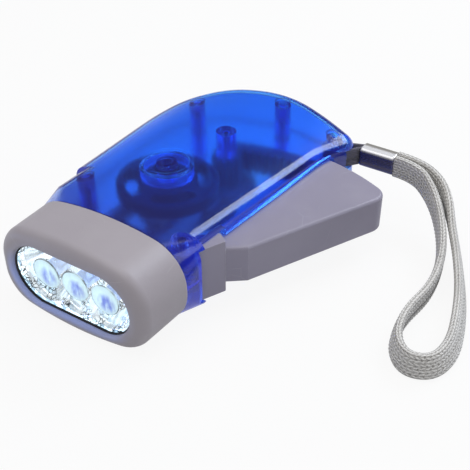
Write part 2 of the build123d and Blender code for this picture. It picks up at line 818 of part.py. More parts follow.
with BuildPart() as clutch_pinion:
    with Locations((rotor_x, rotor_y)):
        add(gear(clutch_pinion_outline, low_wheel_z, second_pinion_z))
    with BuildSketch(Plane.XY.offset(second_pinion_z)):
        with Locations((rotor_x, rotor_y)):
            Circle(rotor_hub_radius)
    extrude(amount=pawl_high_z - second_pinion_z)
    with BuildSketch(Plane.XY.offset(pawl_low_z)):
        with Locations((rotor_x, rotor_y)):
            with PolarLocations(0, pawl_count):
                with Locations((pawl_offset, 0)):
                    SlotCenterPoint((0, 0), (0, pawl_length), pawl_width)
    extrude(amount=pawl_high_z - pawl_low_z)
    with BuildSketch(Plane.XY.offset(low_wheel_z)):
        with Locations((rotor_x, rotor_y)):
            Circle(axle_radius + running_gap)
    extrude(amount=pawl_high_z - low_wheel_z, mode=Mode.SUBTRACT)
write(clutch_pinion, "clutch_pinion")

ratchet_points = []
for tooth in range(ratchet_teeth):
    for share, depth in ((0, 0), (ratchet_ramp_share, ratchet_tooth_depth)):
        turn = 2 * pi * (tooth + share) / ratchet_teeth
        radius = ratchet_radius - ratchet_wall - depth
        ratchet_points.append((radius * cos(turn), radius * sin(turn)))

with BuildPart() as ratchet_ring:
    with BuildSketch(Plane.XY.offset(pawl_low_z)):
        with Locations((rotor_x, rotor_y)):
            Circle(ratchet_radius)
    extrude(amount=ratchet_height)
    with BuildSketch(Plane.XY.offset(pawl_low_z)):
        with BuildLine():
            Polyline(*[(rotor_x + x, rotor_y + y) for x, y in ratchet_points], close=True)
        make_face()
    extrude(amount=ratchet_height - ratchet_wall, mode=Mode.SUBTRACT)
    with BuildSketch(Plane.XY.offset(pawl_low_z)):
        with Locations((rotor_x, rotor_y)):
            Circle(axle_radius + running_gap)
    extrude(amount=ratchet_height, mode=Mode.SUBTRACT)
write(ratchet_ring, "ratchet_ring")

flywheel_low_z = flywheel_top - flywheel_thickness

with BuildPart() as flywheel:
    with BuildLine() as window_arc:
        CenterArc((0, 0), flywheel_window_radius, -flywheel_window_angle / 2, flywheel_window_angle)
    with BuildSketch(Plane.XY.offset(flywheel_low_z)):
        with Locations((rotor_x, rotor_y)):
            Circle(flywheel_radius)
            with PolarLocations(0, flywheel_windows, start_angle=45):
                SlotArc(window_arc.wire(), flywheel_window_width, mode=Mode.SUBTRACT)
    extrude(amount=flywheel_thickness)
    chamfer(flywheel.faces().sort_by(Axis.Z)[-1].edges().sort_by(SortBy.LENGTH)[-1], seat_gap * 4)
    with BuildSketch(Plane.XY.offset(ratchet_high_z)):
        with Locations((rotor_x, rotor_y)):
            Circle(rotor_hub_radius)
    extrude(amount=flywheel_top - ratchet_high_z)
    with BuildSketch(Plane.XY.offset(ratchet_high_z)):
        with Locations((rotor_x, rotor_y)):
            Circle(axle_radius + running_gap)
    extrude(amount=flywheel_top - ratchet_high_z, mode=Mode.SUBTRACT)
write(flywheel, "flywheel")

magnet_low_z = core_base_z + core_height / 2 - magnet_height / 2

with BuildPart() as ring_magnet:
    with BuildSketch(Plane.XY.offset(magnet_low_z)):
        with Locations((rotor_x, rotor_y)):
            Circle(magnet_radius)
            Circle(rotor_hub_radius + running_gap, mode=Mode.SUBTRACT)
    extrude(amount=magnet_height)
write(ring_magnet, "ring_magnet")

# Generator core: two pole arcs round the magnet, arms and a yoke under the coil
with BuildPart() as stator_core:
    with BuildSketch(Plane.XY.offset(core_base_z)):
        with Locations((rotor_x, rotor_y)):
            Circle(pole_outer_radius)
            Circle(pole_inner_radius, mode=Mode.SUBTRACT)
            Rectangle(pole_opening, 3 * pole_outer_radius, mode=Mode.SUBTRACT)
        for post_x, _ in core_posts:
            with Locations((post_x, rotor_y)):
                Rectangle(pole_thickness, core_reach, align=(Align.CENTER, Align.MAX))
        with Locations((rotor_x, yoke_y)):
            Rectangle(2 * pole_outer_radius, yoke_depth)
    extrude(amount=core_height)
write(stator_core, "stator_core")

with BuildPart() as coil_bobbin:
    bobbin_plane = Plane(origin=(rotor_x - bobbin_length / 2, yoke_y, core_base_z + core_height / 2), z_dir=(1, 0, 0))
    with BuildSketch(bobbin_plane):
        Circle(bobbin_core_radius)
    extrude(amount=bobbin_length)
    with BuildSketch(bobbin_plane, bobbin_plane.offset(bobbin_length - bobbin_wall)):
        Circle(bobbin_flange_radius)
    extrude(amount=bobbin_wall)
    with BuildSketch(Plane.XY.offset(core_base_z - running_gap)):
        with Locations((rotor_x, yoke_y)):
            Rectangle(2 * bobbin_length, yoke_depth + 2 * running_gap)
    extrude(amount=core_height + 2 * running_gap, mode=Mode.SUBTRACT)
write(coil_bobbin, "coil_bobbin")

# The winding: a turned profile with one ridge for each row of turns
ridge = (bobbin_length - 2 * bobbin_wall - 2 * running_gap) / winding_rows
with BuildPart() as coil_winding:
    winding_start = rotor_x - bobbin_length / 2 + bobbin_wall + running_gap
    winding_z = core_base_z + core_height / 2
    with BuildSketch(Plane.XY.offset(winding_z)):
        with BuildLine():
            inner_y = yoke_y + bobbin_core_radius + running_gap
            outer_y = yoke_y + winding_radius
            crests = [(winding_start, outer_y - ridge / 2)]
            for row in range(winding_rows):
                left_x = winding_start + row * ridge
                crests += [(left_x + ridge / 2, outer_y), (left_x + ridge, outer_y - ridge / 2)]
            Polyline(*crests)
            winding_end = winding_start + winding_rows * ridge
            Polyline(
                (winding_end, outer_y - ridge / 2),
                (winding_end, inner_y),
                (winding_start, inner_y),
                (winding_start, outer_y - ridge / 2),
            )
        make_face()
    revolve(axis=Axis((0, yoke_y, winding_z), (1, 0, 0)))
write(coil_winding, "coil_winding")


def lead_wire(offset_x, height, name):
    """A lead from the coil to the back of the lamp board."""
    start = Vector(rotor_x + offset_x, yoke_y - winding_radius, winding_z + height)
    end = Vector(rotor_x + lead_splay * offset_x, board_back_y, winding_z - height)
    reach = start.Y - end.Y
    with BuildPart() as lead:
        with BuildLine() as route:
            FilletPolyline(
                start,
                (start.X, start.Y - reach / 3, start.Z),
                (end.X, end.Y + reach / 3, end.Z),
                end,
                radius=reach / 6,
            )
        with BuildSketch(Plane(origin=start, z_dir=(0, -1, 0))):
            Circle(lead_wire_radius)
        sweep()
    write(lead, name)


lead_wire(-bobbin_length / 3, winding_radius / 3, "lead_red")
lead_wire(bobbin_length / 3, winding_radius / 3, "lead_black")


def biarc(start, start_direction, end, end_direction):
    """The two tangent arcs that join two points with given directions."""
    gap = end - start
    both = start_direction + end_direction
    square = 2 * (start_direction.dot(end_direction) - 1)
    middle = gap.dot(both)
    reach = (middle - sqrt(middle**2 - square * gap.dot(gap))) / square
    joint = (start + end + (start_direction - end_direction) * reach) * 0.5
    tangent = (joint - start - start_direction * reach).normalized()
    return joint, tangent


# Return spring: close turns round the pin, one leg to the housing and one to the lever
spring_angle = 360 * spring_turns + spring_end_angle - spring_start_angle
spring_steps = ceil(spring_angle / 180)
spring_step_angle = spring_angle / spring_steps
spring_low_z = parting_z - spring_pitch * spring_turns / 2


def spring_point(step):
    """A point and a direction on the spring's helix."""
    angle = radians(spring_start_angle + step * spring_step_angle)
    slope = spring_pitch / (2 * pi)
    point = Vector(
        pivot_x + spring_radius * cos(angle),
        pivot_y + spring_radius * sin(angle),
        spring_low_z + slope * radians(step * spring_step_angle),
    )
    direction = Vector(-spring_radius * sin(angle), spring_radius * cos(angle), slope).normalized()
    return point, direction


with BuildPart() as return_spring:
    with BuildLine() as spring_path:
        point, direction = spring_point(0)
        first_end = point - direction * spring_leg
        Line(first_end, point)
        for step in range(spring_steps):
            next_point, next_direction = spring_point(step + 1)
            joint, joint_direction = biarc(point, direction, next_point, next_direction)
            TangentArc(point, joint, tangent=direction)
            TangentArc(joint, next_point, tangent=joint_direction)
            point, direction = next_point, next_direction
        Line(point, point + direction * spring_leg)
    with BuildSketch(Plane(origin=first_end, z_dir=spring_point(0)[1])):
        RegularPolygon(spring_wire_radius, spring_wire_sides)
    sweep()
spring_wire = spring_path.wire()
spring_samples = spring_steps * 16
spring_points = [spring_wire.position_at(sample / spring_samples) for sample in range(spring_samples + 1)]
apart = pi * spring_radius / (spring_wire.length / spring_samples)
spring_gap = min(
    (spring_points[i] - spring_points[j]).length - 2 * spring_wire_radius
    for i in range(spring_samples + 1)
    for j in range(i + ceil(apart), spring_samples + 1)
)
print("least gap between the spring's turns", round(spring_gap, 2))
write(return_spring, "return_spring")

# Wrist strap: a flat braided loop that stands on its edge on the floor
strap_z = strap_width / 2
strap_side = (strap_thickness + strap_gap) / 2
ferrule_end = ferrule_x + ferrule_length
strap_route = [
    (ferrule_end, ferrule_y + strap_side, strap_height),
    (53.0, ferrule_y + strap_side, strap_height),
    (60.5, 46.6, 14.4),
    (66.0, 42.0, 11.2),
    (70.6, 34.6, 8.0),
    (75.8, 26.0, 5.4),
    (81.6, 14.0, 3.9),
    (85.6, 2.0, strap_z),
    (87.9, -8.5, strap_z),
    (86.2, -17.0, strap_z),
    (79.5, -19.4, strap_z),
    (73.9, -13.6, strap_z),
    (72.2, -3.0, strap_z),
    (73.9, 9.5, strap_z),
    (72.6, 20.5, 4.2),
    (69.6, 29.6, 6.2),
    (64.8, 37.6, 9.6),
    (59.3, 42.8, 13.4),
    (53.2, ferrule_y - strap_side, strap_height),
    (ferrule_end, ferrule_y - strap_side, strap_height),
]


strap_radii = corner_radii(strap_route, [arc_share] * len(strap_route))
print("strap radii", [round(radius, 1) for radius in strap_radii])

with BuildLine() as strap_path:
    FilletPolyline(*strap_route, radius=strap_radii)
strap_wire = strap_path.wire()
with BuildPart() as strap_loop:
    with BuildSketch(Plane(origin=strap_route[0], x_dir=(0, 1, 0), z_dir=(1, 0, 0))) as strap_section:
        Rectangle(strap_thickness, strap_width)
    # A copy of the path straight above it keeps the strap on its edge
    sweep(path=strap_wire, binormal=strap_wire.translate((0, 0, strap_width)))
strap_volume = strap_wire.length * strap_section.sketch.area
print("strap length", round(strap_wire.length, 1))
print("strap volume over section times length", round(strap_loop.part.volume / strap_volume, 3))
write(strap_loop, "strap_loop")

with BuildPart() as strap_ferrule:
    with BuildSketch(Plane(origin=(ferrule_x, ferrule_y, strap_height), x_dir=(0, 1, 0), z_dir=(1, 0, 0))):
        RectangleRounded(ferrule_depth, ferrule_height, ferrule_corner)
        RectangleRounded(
            ferrule_depth - 2 * ferrule_wall,
            ferrule_height - 2 * ferrule_wall,
            ferrule_corner - ferrule_wall,
            mode=Mode.SUBTRACT,
        )
    extrude(amount=ferrule_length)
write(strap_ferrule, "strap_ferrule")

# The strap's tail goes round the screw post and out through the window
with BuildPart() as strap_tail:
    with BuildSketch(Plane.XY.offset(strap_height - tail_height / 2)):
        with Locations(strap_post):
            Circle(tail_inner + tail_thickness)
        with Locations((ferrule_x, ferrule_y)):
            Circle(tail_thickness)
        make_hull()
    extrude(amount=tail_height)
    with BuildSketch(Plane.XY.offset(strap_height - tail_height / 2)):
        with Locations(strap_post):
            Circle(tail_inner)
        with Locations((ferrule_x, ferrule_y)):
            Circle(seat_gap)
        make_hull()
    extrude(amount=tail_height, mode=Mode.SUBTRACT)
    split(bisect_by=Plane(origin=(ferrule_x, 0, 0), z_dir=(-1, 0, 0)), keep=Keep.TOP)
write(strap_tail, "strap_tail")
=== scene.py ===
"""The looks of a squeeze dynamo flashlight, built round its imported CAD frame.

Every piece is placed in metres in the CAD model's own frame: the head faces -Y, the
lever swings out on +X, and +Z is up from the face that the light rests on.
"""

import logging
import math
import random
from dataclasses import dataclass
from enum import Enum

import bmesh
import bpy
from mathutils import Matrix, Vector


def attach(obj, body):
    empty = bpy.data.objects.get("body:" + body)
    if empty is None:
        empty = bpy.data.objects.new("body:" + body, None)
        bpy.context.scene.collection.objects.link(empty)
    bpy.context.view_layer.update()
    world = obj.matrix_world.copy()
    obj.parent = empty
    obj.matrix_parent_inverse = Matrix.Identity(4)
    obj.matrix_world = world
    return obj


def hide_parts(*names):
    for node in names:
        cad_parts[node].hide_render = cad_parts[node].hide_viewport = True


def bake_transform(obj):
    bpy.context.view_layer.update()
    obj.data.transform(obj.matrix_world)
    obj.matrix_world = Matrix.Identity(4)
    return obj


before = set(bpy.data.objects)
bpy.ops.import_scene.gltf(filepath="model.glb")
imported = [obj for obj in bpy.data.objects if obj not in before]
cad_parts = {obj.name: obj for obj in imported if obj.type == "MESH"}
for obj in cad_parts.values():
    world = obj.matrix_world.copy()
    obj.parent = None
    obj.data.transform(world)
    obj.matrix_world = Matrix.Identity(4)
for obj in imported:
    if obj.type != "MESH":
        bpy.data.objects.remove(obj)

log = logging.getLogger("squeeze_light")

MM = 0.001
FULL_TURN = 2 * math.pi
RIGHT, BACK, UP = Vector((1, 0, 0)), Vector((0, 1, 0)), Vector((0, 0, 1))
Colour = tuple[float, float, float]
Point = tuple[float, float, float]
Span = tuple[float, float]
WHITE: Colour = (1.0, 1.0, 1.0)
LAMP_PITCH = 10 * MM
MIDDLE_Z = 14 * MM
EYE_RADIUS = 4.5 * MM
HUB: Span = (-3.1 * MM, -5.3 * MM)
SPLINE_STEPS = 24
WIRE_END_REACH, WIRE_END_WIDTH = 0.5, 0.6
RIDGE_SHARE, STRAND_SHARE, SUNK_SHARE = 0.55, 0.45, 0.5

# The Mix node's sockets for colours, which have the same names as its others.
MIX_FACTOR, MIX_FIRST, MIX_SECOND, MIX_RESULT = 0, 6, 7, 2


# ---------------------------------------------------------------- shader node tools


class Socket(Enum):
    """The kinds of input that the effect groups have."""

    NUMBER = "NodeSocketFloat"
    VECTOR = "NodeSocketVector"


class Effect(Enum):
    """The shared effects, by the names of their node groups."""

    GRAIN = "Moulded grain"
    WEAR = "Edge wear"
    DUST = "Settled dust"
    STREAKS = "Drawn streaks"
    SCUFFS = "Fine scuffs"
    BRAID = "Flat braid"
    FLAKES = "Flakes and cracks"
    RING = "Moulded ring mark"


class NodeSheet:
    """Adds nodes to one node tree and joins them.

    Args:
        tree: The tree of a material, a group or the world.
    """

    def __init__(self, tree: bpy.types.NodeTree) -> None:
        """Keep the tree, and empty it."""
        self.tree = tree
        tree.nodes.clear()

    def add(self, kind: str, feeds: dict | None = None, **settings: object) -> bpy.types.Node:
        """Add a node.

        Args:
            kind: Blender's name of the node type.
            feeds: Values or sockets for its inputs, by input name or number.
            settings: Properties of the node itself.

        Returns:
            The new node.
        """
        node = self.tree.nodes.new(kind)
        for name, value in settings.items():
            setattr(node, name, value)
        for key, value in (feeds or {}).items():
            self.feed(node.inputs[key], value)
        return node

    def feed(self, socket: bpy.types.NodeSocket, value: object) -> None:
        """Link a socket to an input, or set the input's own value.

        Args:
            socket: The input.
            value: A socket, a number, a vector, or a colour, which gets full alpha.
        """
        if isinstance(value, bpy.types.NodeSocket):
            self.tree.links.new(value, socket)
        elif socket.type == "RGBA":
            socket.default_value = (*value, 1.0)
        else:
            socket.default_value = value

    def sum(self, operation: str, *values: object) -> bpy.types.NodeSocket:
        """Math nodes of one operation.

        Args:
            operation: The Math node's operation.
            values: One input, or two, or more that are taken in from the left.

        Returns:
            The result's socket.
        """
        feeds = {0: values[0]} if len(values) == 1 else {0: values[0], 1: values[1]}
        result = self.add("ShaderNodeMath", feeds, operation=operation).outputs[0]
        return self.sum(operation, result, *values[2:]) if len(values) > 2 else result

    def times(self, *values: object) -> bpy.types.NodeSocket:
        """Values multiplied."""
        return self.sum("MULTIPLY", *values)

    def plus(self, *values: object) -> bpy.types.NodeSocket:
        """Values added."""
        return self.sum("ADD", *values)

    def less(self, first: object, second: object) -> bpy.types.NodeSocket:
        """The second value taken from the first."""
        return self.sum("SUBTRACT", first, second)

    def most(self, *values: object) -> bpy.types.NodeSocket:
        """The largest of some values."""
        return self.sum("MAXIMUM", *values)

    def reach(self, across: object, up: object) -> bpy.types.NodeSocket:
        """How far a place is from the middle, from its distances across and up."""
        return self.sum("SQRT", self.plus(self.times(across, across), self.times(up, up)))

    def blend(self, factor: object, first: object, second: object) -> bpy.types.NodeSocket:
        """Two colours mixed by a factor."""
        feeds = {MIX_FACTOR: factor, MIX_FIRST: first, MIX_SECOND: second}
        return self.add("ShaderNodeMix", feeds, data_type="RGBA").outputs[MIX_RESULT]

    def remap(
        self, value: object, low: object, high: object, start: float = 0.0, end: float = 1.0
    ) -> bpy.types.NodeSocket:
        """A value mapped from low and high to start and end, and kept between them."""
        return self.add("ShaderNodeMapRange", {0: value, 1: low, 2: high, 3: start, 4: end}).outputs[0]

    def place(self) -> bpy.types.NodeSocket:
        """The point on the object, in metres in the CAD frame."""
        return self.add("ShaderNodeTexCoord").outputs["Object"]

    def parts(self, vector: object = None) -> bpy.types.NodeOutputs:
        """The three parts of a vector, or of the point on the object."""
        return self.add("ShaderNodeSeparateXYZ", {0: vector or self.place()}).outputs

    def upward(self) -> bpy.types.NodeSocket:
        """How far the surface is turned up, from -1 to 1."""
        return self.parts(self.add("ShaderNodeNewGeometry").outputs["Normal"])[2]

    def vectors(self, operation: str, first: object, second: object) -> bpy.types.NodeOutputs:
        """A Vector Math node's outputs."""
        return self.add("ShaderNodeVectorMath", {0: first, 1: second}, operation=operation).outputs

    def noise(self, scale: object, detail: float = 2.0, vector: object = None) -> bpy.types.NodeOutputs:
        """A noise texture's outputs, its value first, at a vector or at the point on the object."""
        feeds = {"Vector": vector or self.place(), "Scale": scale, "Detail": detail}
        return self.add("ShaderNodeTexNoise", feeds).outputs

    def cells(self, feature: str, scale: object, vector: object = None) -> bpy.types.NodeOutputs:
        """A Voronoi texture's outputs, at a vector or at the point on the object."""
        feeds = {"Vector": vector or self.place(), "Scale": scale}
        return self.add("ShaderNodeTexVoronoi", feeds, feature=feature).outputs


class Effects:
    """Builds the node group of every shared effect, once."""

    def __init__(self) -> None:
        """Build every group."""
        self.trees: dict[Effect, bpy.types.NodeTree] = {}
        for build in (
            self._grain, self._wear, self._dust, self._streaks, self._scuffs, self._braid, self._flakes, self._ring
        ):
            build()

    def _open(self, effect: Effect, inputs: dict[str, object], *outputs: str) -> tuple[NodeSheet, object]:
        """Start a group.

        Args:
            effect: The effect.
            inputs: Its inputs' first values, numbers or vectors, by name.
            outputs: The names of its outputs, which are all numbers.

        Returns:
            The group's sheet, and its inputs' sockets by name.
        """
        tree = bpy.data.node_groups.new(effect.value, "ShaderNodeTree")
        for name, value in inputs.items():
            kind = Socket.VECTOR if isinstance(value, tuple) else Socket.NUMBER
            tree.interface.new_socket(name=name, in_out="INPUT", socket_type=kind.value).default_value = value
        for name in outputs:
            tree.interface.new_socket(name=name, in_out="OUTPUT", socket_type=Socket.NUMBER.value)
        self.trees[effect] = tree
        sheet = NodeSheet(tree)
        return sheet, sheet.add("NodeGroupInput").outputs

    def _grain(self) -> None:
        """Fine moulded grain and slow mottling."""
        sheet, source = self._open(Effect.GRAIN, {"Scale": 4000.0, "Mottle scale": 60.0}, "Height", "Mottle")
        fine = sheet.noise(source["Scale"], 3.0)[0]
        coarse = sheet.noise(sheet.times(source["Scale"], 0.31), 1.0)[0]
        height = sheet.plus(sheet.times(fine, 0.6), sheet.times(coarse, 0.4))
        mottle = sheet.remap(sheet.noise(source["Mottle scale"], 4.0)[0], 0.3, 0.7)
        sheet.add("NodeGroupOutput", {"Height": height, "Mottle": mottle})

    def _wear(self) -> None:
        """Rubbed edges, broken up by noise."""
        sheet, source = self._open(Effect.WEAR, {"Radius": 0.4 * MM, "Break up": 900.0}, "Mask")
        rounded_off = sheet.add("ShaderNodeBevel", {"Radius": source["Radius"]}, samples=4).outputs[0]
        normal = sheet.add("ShaderNodeNewGeometry").outputs["Normal"]
        edge = sheet.remap(sheet.vectors("DOT_PRODUCT", rounded_off, normal)["Value"], 0.995, 0.9)
        broken = sheet.remap(sheet.noise(source["Break up"], 3.0)[0], 0.4, 0.62)
        sheet.add("NodeGroupOutput", {"Mask": sheet.times(edge, broken)})

    def _dust(self) -> None:
        """Dust that settles on faces turned up, in specks and thin patches."""
        sheet, source = self._open(Effect.DUST, {"Amount": 0.3, "Speck scale": 1400.0}, "Mask")
        lying = sheet.remap(sheet.upward(), 0.2, 0.95)
        dots = sheet.remap(sheet.cells("F1", source["Speck scale"])["Distance"], 0.05, 0.16, 1.0, 0.0)
        patches = sheet.remap(sheet.noise(120.0, 3.0)[0], 0.5, 0.75, 0.0, 0.6)
        both = sheet.plus(sheet.times(dots, patches), sheet.times(patches, 0.25))
        kept = sheet.remap(sheet.times(both, lying, source["Amount"]), 0.0, 1.0)
        sheet.add("NodeGroupOutput", {"Mask": kept})

    def _streaks(self) -> None:
        """Drawn or rolled marks in metal, stretched along one direction."""
        sheet, source = self._open(Effect.STREAKS, {"Stretch": (60.0, 2500.0, 2500.0)}, "Height", "Shade")
        stretched = sheet.vectors("MULTIPLY", sheet.place(), source["Stretch"])[0]
        shade = sheet.remap(sheet.noise(0.35, 2.0, stretched)[0], 0.35, 0.65)
        sheet.add("NodeGroupOutput", {"Height": sheet.noise(1.0, 4.0, stretched)[0], "Shade": shade})

    def _scuffs(self) -> None:
        """Thin scratches that cross each other at slight angles."""
        sheet, source = self._open(Effect.SCUFFS, {"Scale": 160.0, "Width": 0.012}, "Mask")
        bent = sheet.vectors("MULTIPLY", sheet.place(), (0.45, 1.0, 0.8))[0]
        edges = sheet.cells("DISTANCE_TO_EDGE", source["Scale"], bent)["Distance"]
        part = sheet.remap(sheet.noise(90.0)[0], 0.52, 0.62)
        thin = sheet.sum("LESS_THAN", edges, source["Width"])
        sheet.add("NodeGroupOutput", {"Mask": sheet.times(thin, part)})

    def _braid(self) -> None:
        """Flat braid: columns of slanting strands, laid out along U and across V, both in metres."""
        inputs = {"Column": 0.9 * MM, "Strand": 0.75 * MM}
        sheet, source = self._open(Effect.BRAID, inputs, "Height", "Shade", "Specks")
        uv = sheet.parts(sheet.add("ShaderNodeUVMap").outputs[0])
        across = sheet.sum("DIVIDE", uv[1], source["Column"])
        along = sheet.sum("DIVIDE", uv[0], source["Strand"])
        slant = sheet.plus(along, sheet.sum("PINGPONG", across, 1.0))
        strand = sheet.sum("SINE", sheet.times(slant, FULL_TURN))
        column = sheet.sum("SINE", sheet.times(sheet.sum("FRACT", across), math.pi))
        high = sheet.times(sheet.remap(strand, -1.0, 1.0, 0.3), column)
        height = sheet.plus(high, sheet.times(sheet.noise(9000.0)[0], 0.25))
        open_weave = sheet.remap(high, 0.15, 0.55, 1.0, 0.2)
        specks = sheet.times(sheet.remap(sheet.noise(2400.0, 1.0)[0], 0.5, 0.62), open_weave)
        sheet.add("NodeGroupOutput", {"Height": height, "Shade": high, "Specks": specks})

    def _flakes(self) -> None:
        """Flakes of one brightness each, with crooked lines between them that come and go."""
        sheet, source = self._open(Effect.FLAKES, {"Scale": 500.0, "Width": 0.05}, "Line", "Flake")
        wander = sheet.noise(700.0, 3.0)["Color"]
        bent = sheet.vectors("ADD", sheet.place(), sheet.vectors("MULTIPLY", wander, (1.2 * MM,) * 3)[0])[0]
        edges = sheet.cells("DISTANCE_TO_EDGE", source["Scale"], bent)["Distance"]
        tone = sheet.add("ShaderNodeSeparateColor", {0: sheet.cells("F1", source["Scale"], bent)["Color"]})
        line = sheet.remap(edges, source["Width"], sheet.times(source["Width"], 2.0), 1.0, 0.0)
        part = sheet.remap(sheet.noise(230.0)[0], 0.48, 0.58)
        flake = sheet.sum("POWER", tone.outputs[0], 3.0)
        sheet.add("NodeGroupOutput", {"Line": sheet.times(line, part), "Flake": flake})

    def _ring(self) -> None:
        """A ring mask on the upper shell, where something round meets it from inside, for painted shade and glow."""
        inputs = {"Middle X": 0.0, "Middle Y": 0.0, "Radius": 2.5 * MM, "Half width": 0.3 * MM}
        sheet, source = self._open(Effect.RING, inputs, "Mask")
        x, y, z = sheet.parts()
        reach = sheet.reach(sheet.less(x, source["Middle X"]), sheet.less(y, source["Middle Y"]))
        off = sheet.sum("ABSOLUTE", sheet.less(reach, source["Radius"]))
        ring = sheet.remap(sheet.sum("DIVIDE", off, source["Half width"]), 0.5, 1.5, 1.0, 0.0)
        upper = sheet.sum("GREATER_THAN", z, 20 * MM)
        sheet.add("NodeGroupOutput", {"Mask": sheet.times(ring, upper)})


class Paint(NodeSheet):
    """A material in the making, with one Principled shader."""

    def __init__(self, name: str, effects: Effects) -> None:
        """Make the material and join its shader to its output.

        Args:
            name: The material's name.
            effects: The shared effects.
        """
        self.material = bpy.data.materials.new(name)
        self.material.use_nodes = True
        super().__init__(self.material.node_tree)
        self.effects = effects
        self.shader = self.add("ShaderNodeBsdfPrincipled")
        self.output = self.add("ShaderNodeOutputMaterial", {0: self.shader.outputs[0]})

    def effect(self, effect: Effect, **values: object) -> bpy.types.NodeOutputs:
        """Place an effect and return its outputs; its inputs' names have underscores for spaces."""
        feeds = {name.replace("_", " "): value for name, value in values.items()}
        return self.add("ShaderNodeGroup", feeds, node_tree=self.effects.trees[effect]).outputs

    def look(self, feeds: dict[str, object]) -> None:
        """Feed the shader's inputs, by name."""
        for name, value in feeds.items():
            self.feed(self.shader.inputs[name], value)

    def bump(self, height: object, depth: float) -> None:
        """Feed a height into the shader's normal, at a depth in metres."""
        node = self.add("ShaderNodeBump", {"Height": height, "Strength": 1.0, "Distance": depth})
        self.look({"Normal": node.outputs[0]})

    def pass_light(self, tint: Colour = WHITE) -> None:
        """Let light fall through the surface where it would cast a shadow.

        Args:
            tint: The colour that the light takes.
        """
        passing = self.add("ShaderNodeBsdfTransparent", {0: tint}).outputs[0]
        shadow = self.add("ShaderNodeLightPath").outputs["Is Shadow Ray"]
        mixed = self.add("ShaderNodeMixShader", {0: shadow, 1: self.shader.outputs[0], 2: passing})
        self.feed(self.output.inputs[0], mixed.outputs[0])


# ---------------------------------------------------------------- finishes


@dataclass(frozen=True)
class Finish:
    """What every finish has.

    Args:
        name: The material's name.
        colour: Its main colour.
        roughness: How dull its gloss is.
    """

    name: str
    colour: Colour
    roughness: float

    def make(self, effects: Effects) -> bpy.types.Material:
        """Build the material.

        Args:
            effects: The shared effects.

        Returns:
            The material.
        """
        paint = Paint(self.name, effects)
        paint.look({"Base Color": self.colour, "Roughness": self.roughness})
        self.cover(paint)
        return paint.material

    def cover(self, paint: Paint) -> None:
        """Add this finish's own detail to a material in the making."""
        raise NotImplementedError


@dataclass(frozen=True)
class MouldedPlastic(Finish):
    """Painted or moulded plastic with a fine grain, worn edges, scuffs and a little dust."""

    mottle_colour: Colour = (0.3, 0.3, 0.3)
    worn_colour: Colour = (0.6, 0.6, 0.6)
    dust_colour: Colour = (0.62, 0.6, 0.58)
    grain_depth: float = 0.02 * MM

    def cover(self, paint: Paint) -> None:
        """Add the grain and the wear.

        Args:
            paint: The material in the making.
        """
        grain = paint.effect(Effect.GRAIN, Scale=5200.0, Mottle_scale=45.0)
        wear = paint.effect(Effect.WEAR, Radius=0.4 * MM, Break_up=700.0)["Mask"]
        dust = paint.effect(Effect.DUST, Amount=0.25, Speck_scale=1500.0)["Mask"]
        scuffs = paint.effect(Effect.SCUFFS, Scale=170.0, Width=0.008)["Mask"]
        base = paint.blend(grain["Mottle"], self.colour, self.mottle_colour)
        base = paint.blend(paint.times(wear, 0.5), base, self.worn_colour)
        base = paint.blend(paint.times(scuffs, 0.18), base, self.worn_colour)
        rough = paint.remap(grain["Mottle"], 0.0, 1.0, self.roughness - 0.04, self.roughness + 0.07)
        rough = paint.plus(rough, paint.times(dust, 0.3))
        paint.look({"Base Color": paint.blend(dust, base, self.dust_colour), "Roughness": rough})
        paint.bump(grain["Height"], self.grain_depth)


@dataclass(frozen=True)
class GlowPaintedBezel(MouldedPlastic):
    """Moulded plastic with a cool glow painted into its base colour on the lip round a slot-shaped opening."""

    glow_colour: Colour = (0.4, 0.5, 0.95)
    painted_glow_share: float = 0.8
    slant: float = 0.35
    half_straight: float = 10.2 * MM
    half_height: float = 9.4 * MM
    lip: Span = (0.5 * MM, 2.4 * MM)
    face: Span = (-50.6 * MM, -51.4 * MM)

    def cover(self, paint: Paint) -> None:
        """Add the plastic's detail, and then a glow painted into the base colour on the lip, stronger low and left.

        Args:
            paint: The material in the making.
        """
        super().cover(paint)
        plain = paint.shader.inputs["Base Color"].links[0].from_socket
        x, y, z = paint.parts()
        past = paint.most(paint.less(paint.sum("ABSOLUTE", x), self.half_straight), 0.0)
        up = paint.less(z, MIDDLE_Z)
        inner, outer = (self.half_height + width for width in self.lip)
        band = paint.remap(paint.reach(past, up), inner, outer, 1.0, 0.0)
        low = paint.remap(paint.plus(up, paint.times(x, self.slant)), -self.half_height, 0.0, 1.0, 0.1)
        # Painted light: a cool glow blended into the lip's base colour, stronger low and left.
        glow = paint.times(band, low, paint.remap(y, *self.face), self.painted_glow_share)
        paint.look({"Base Color": paint.blend(glow, plain, self.glow_colour)})


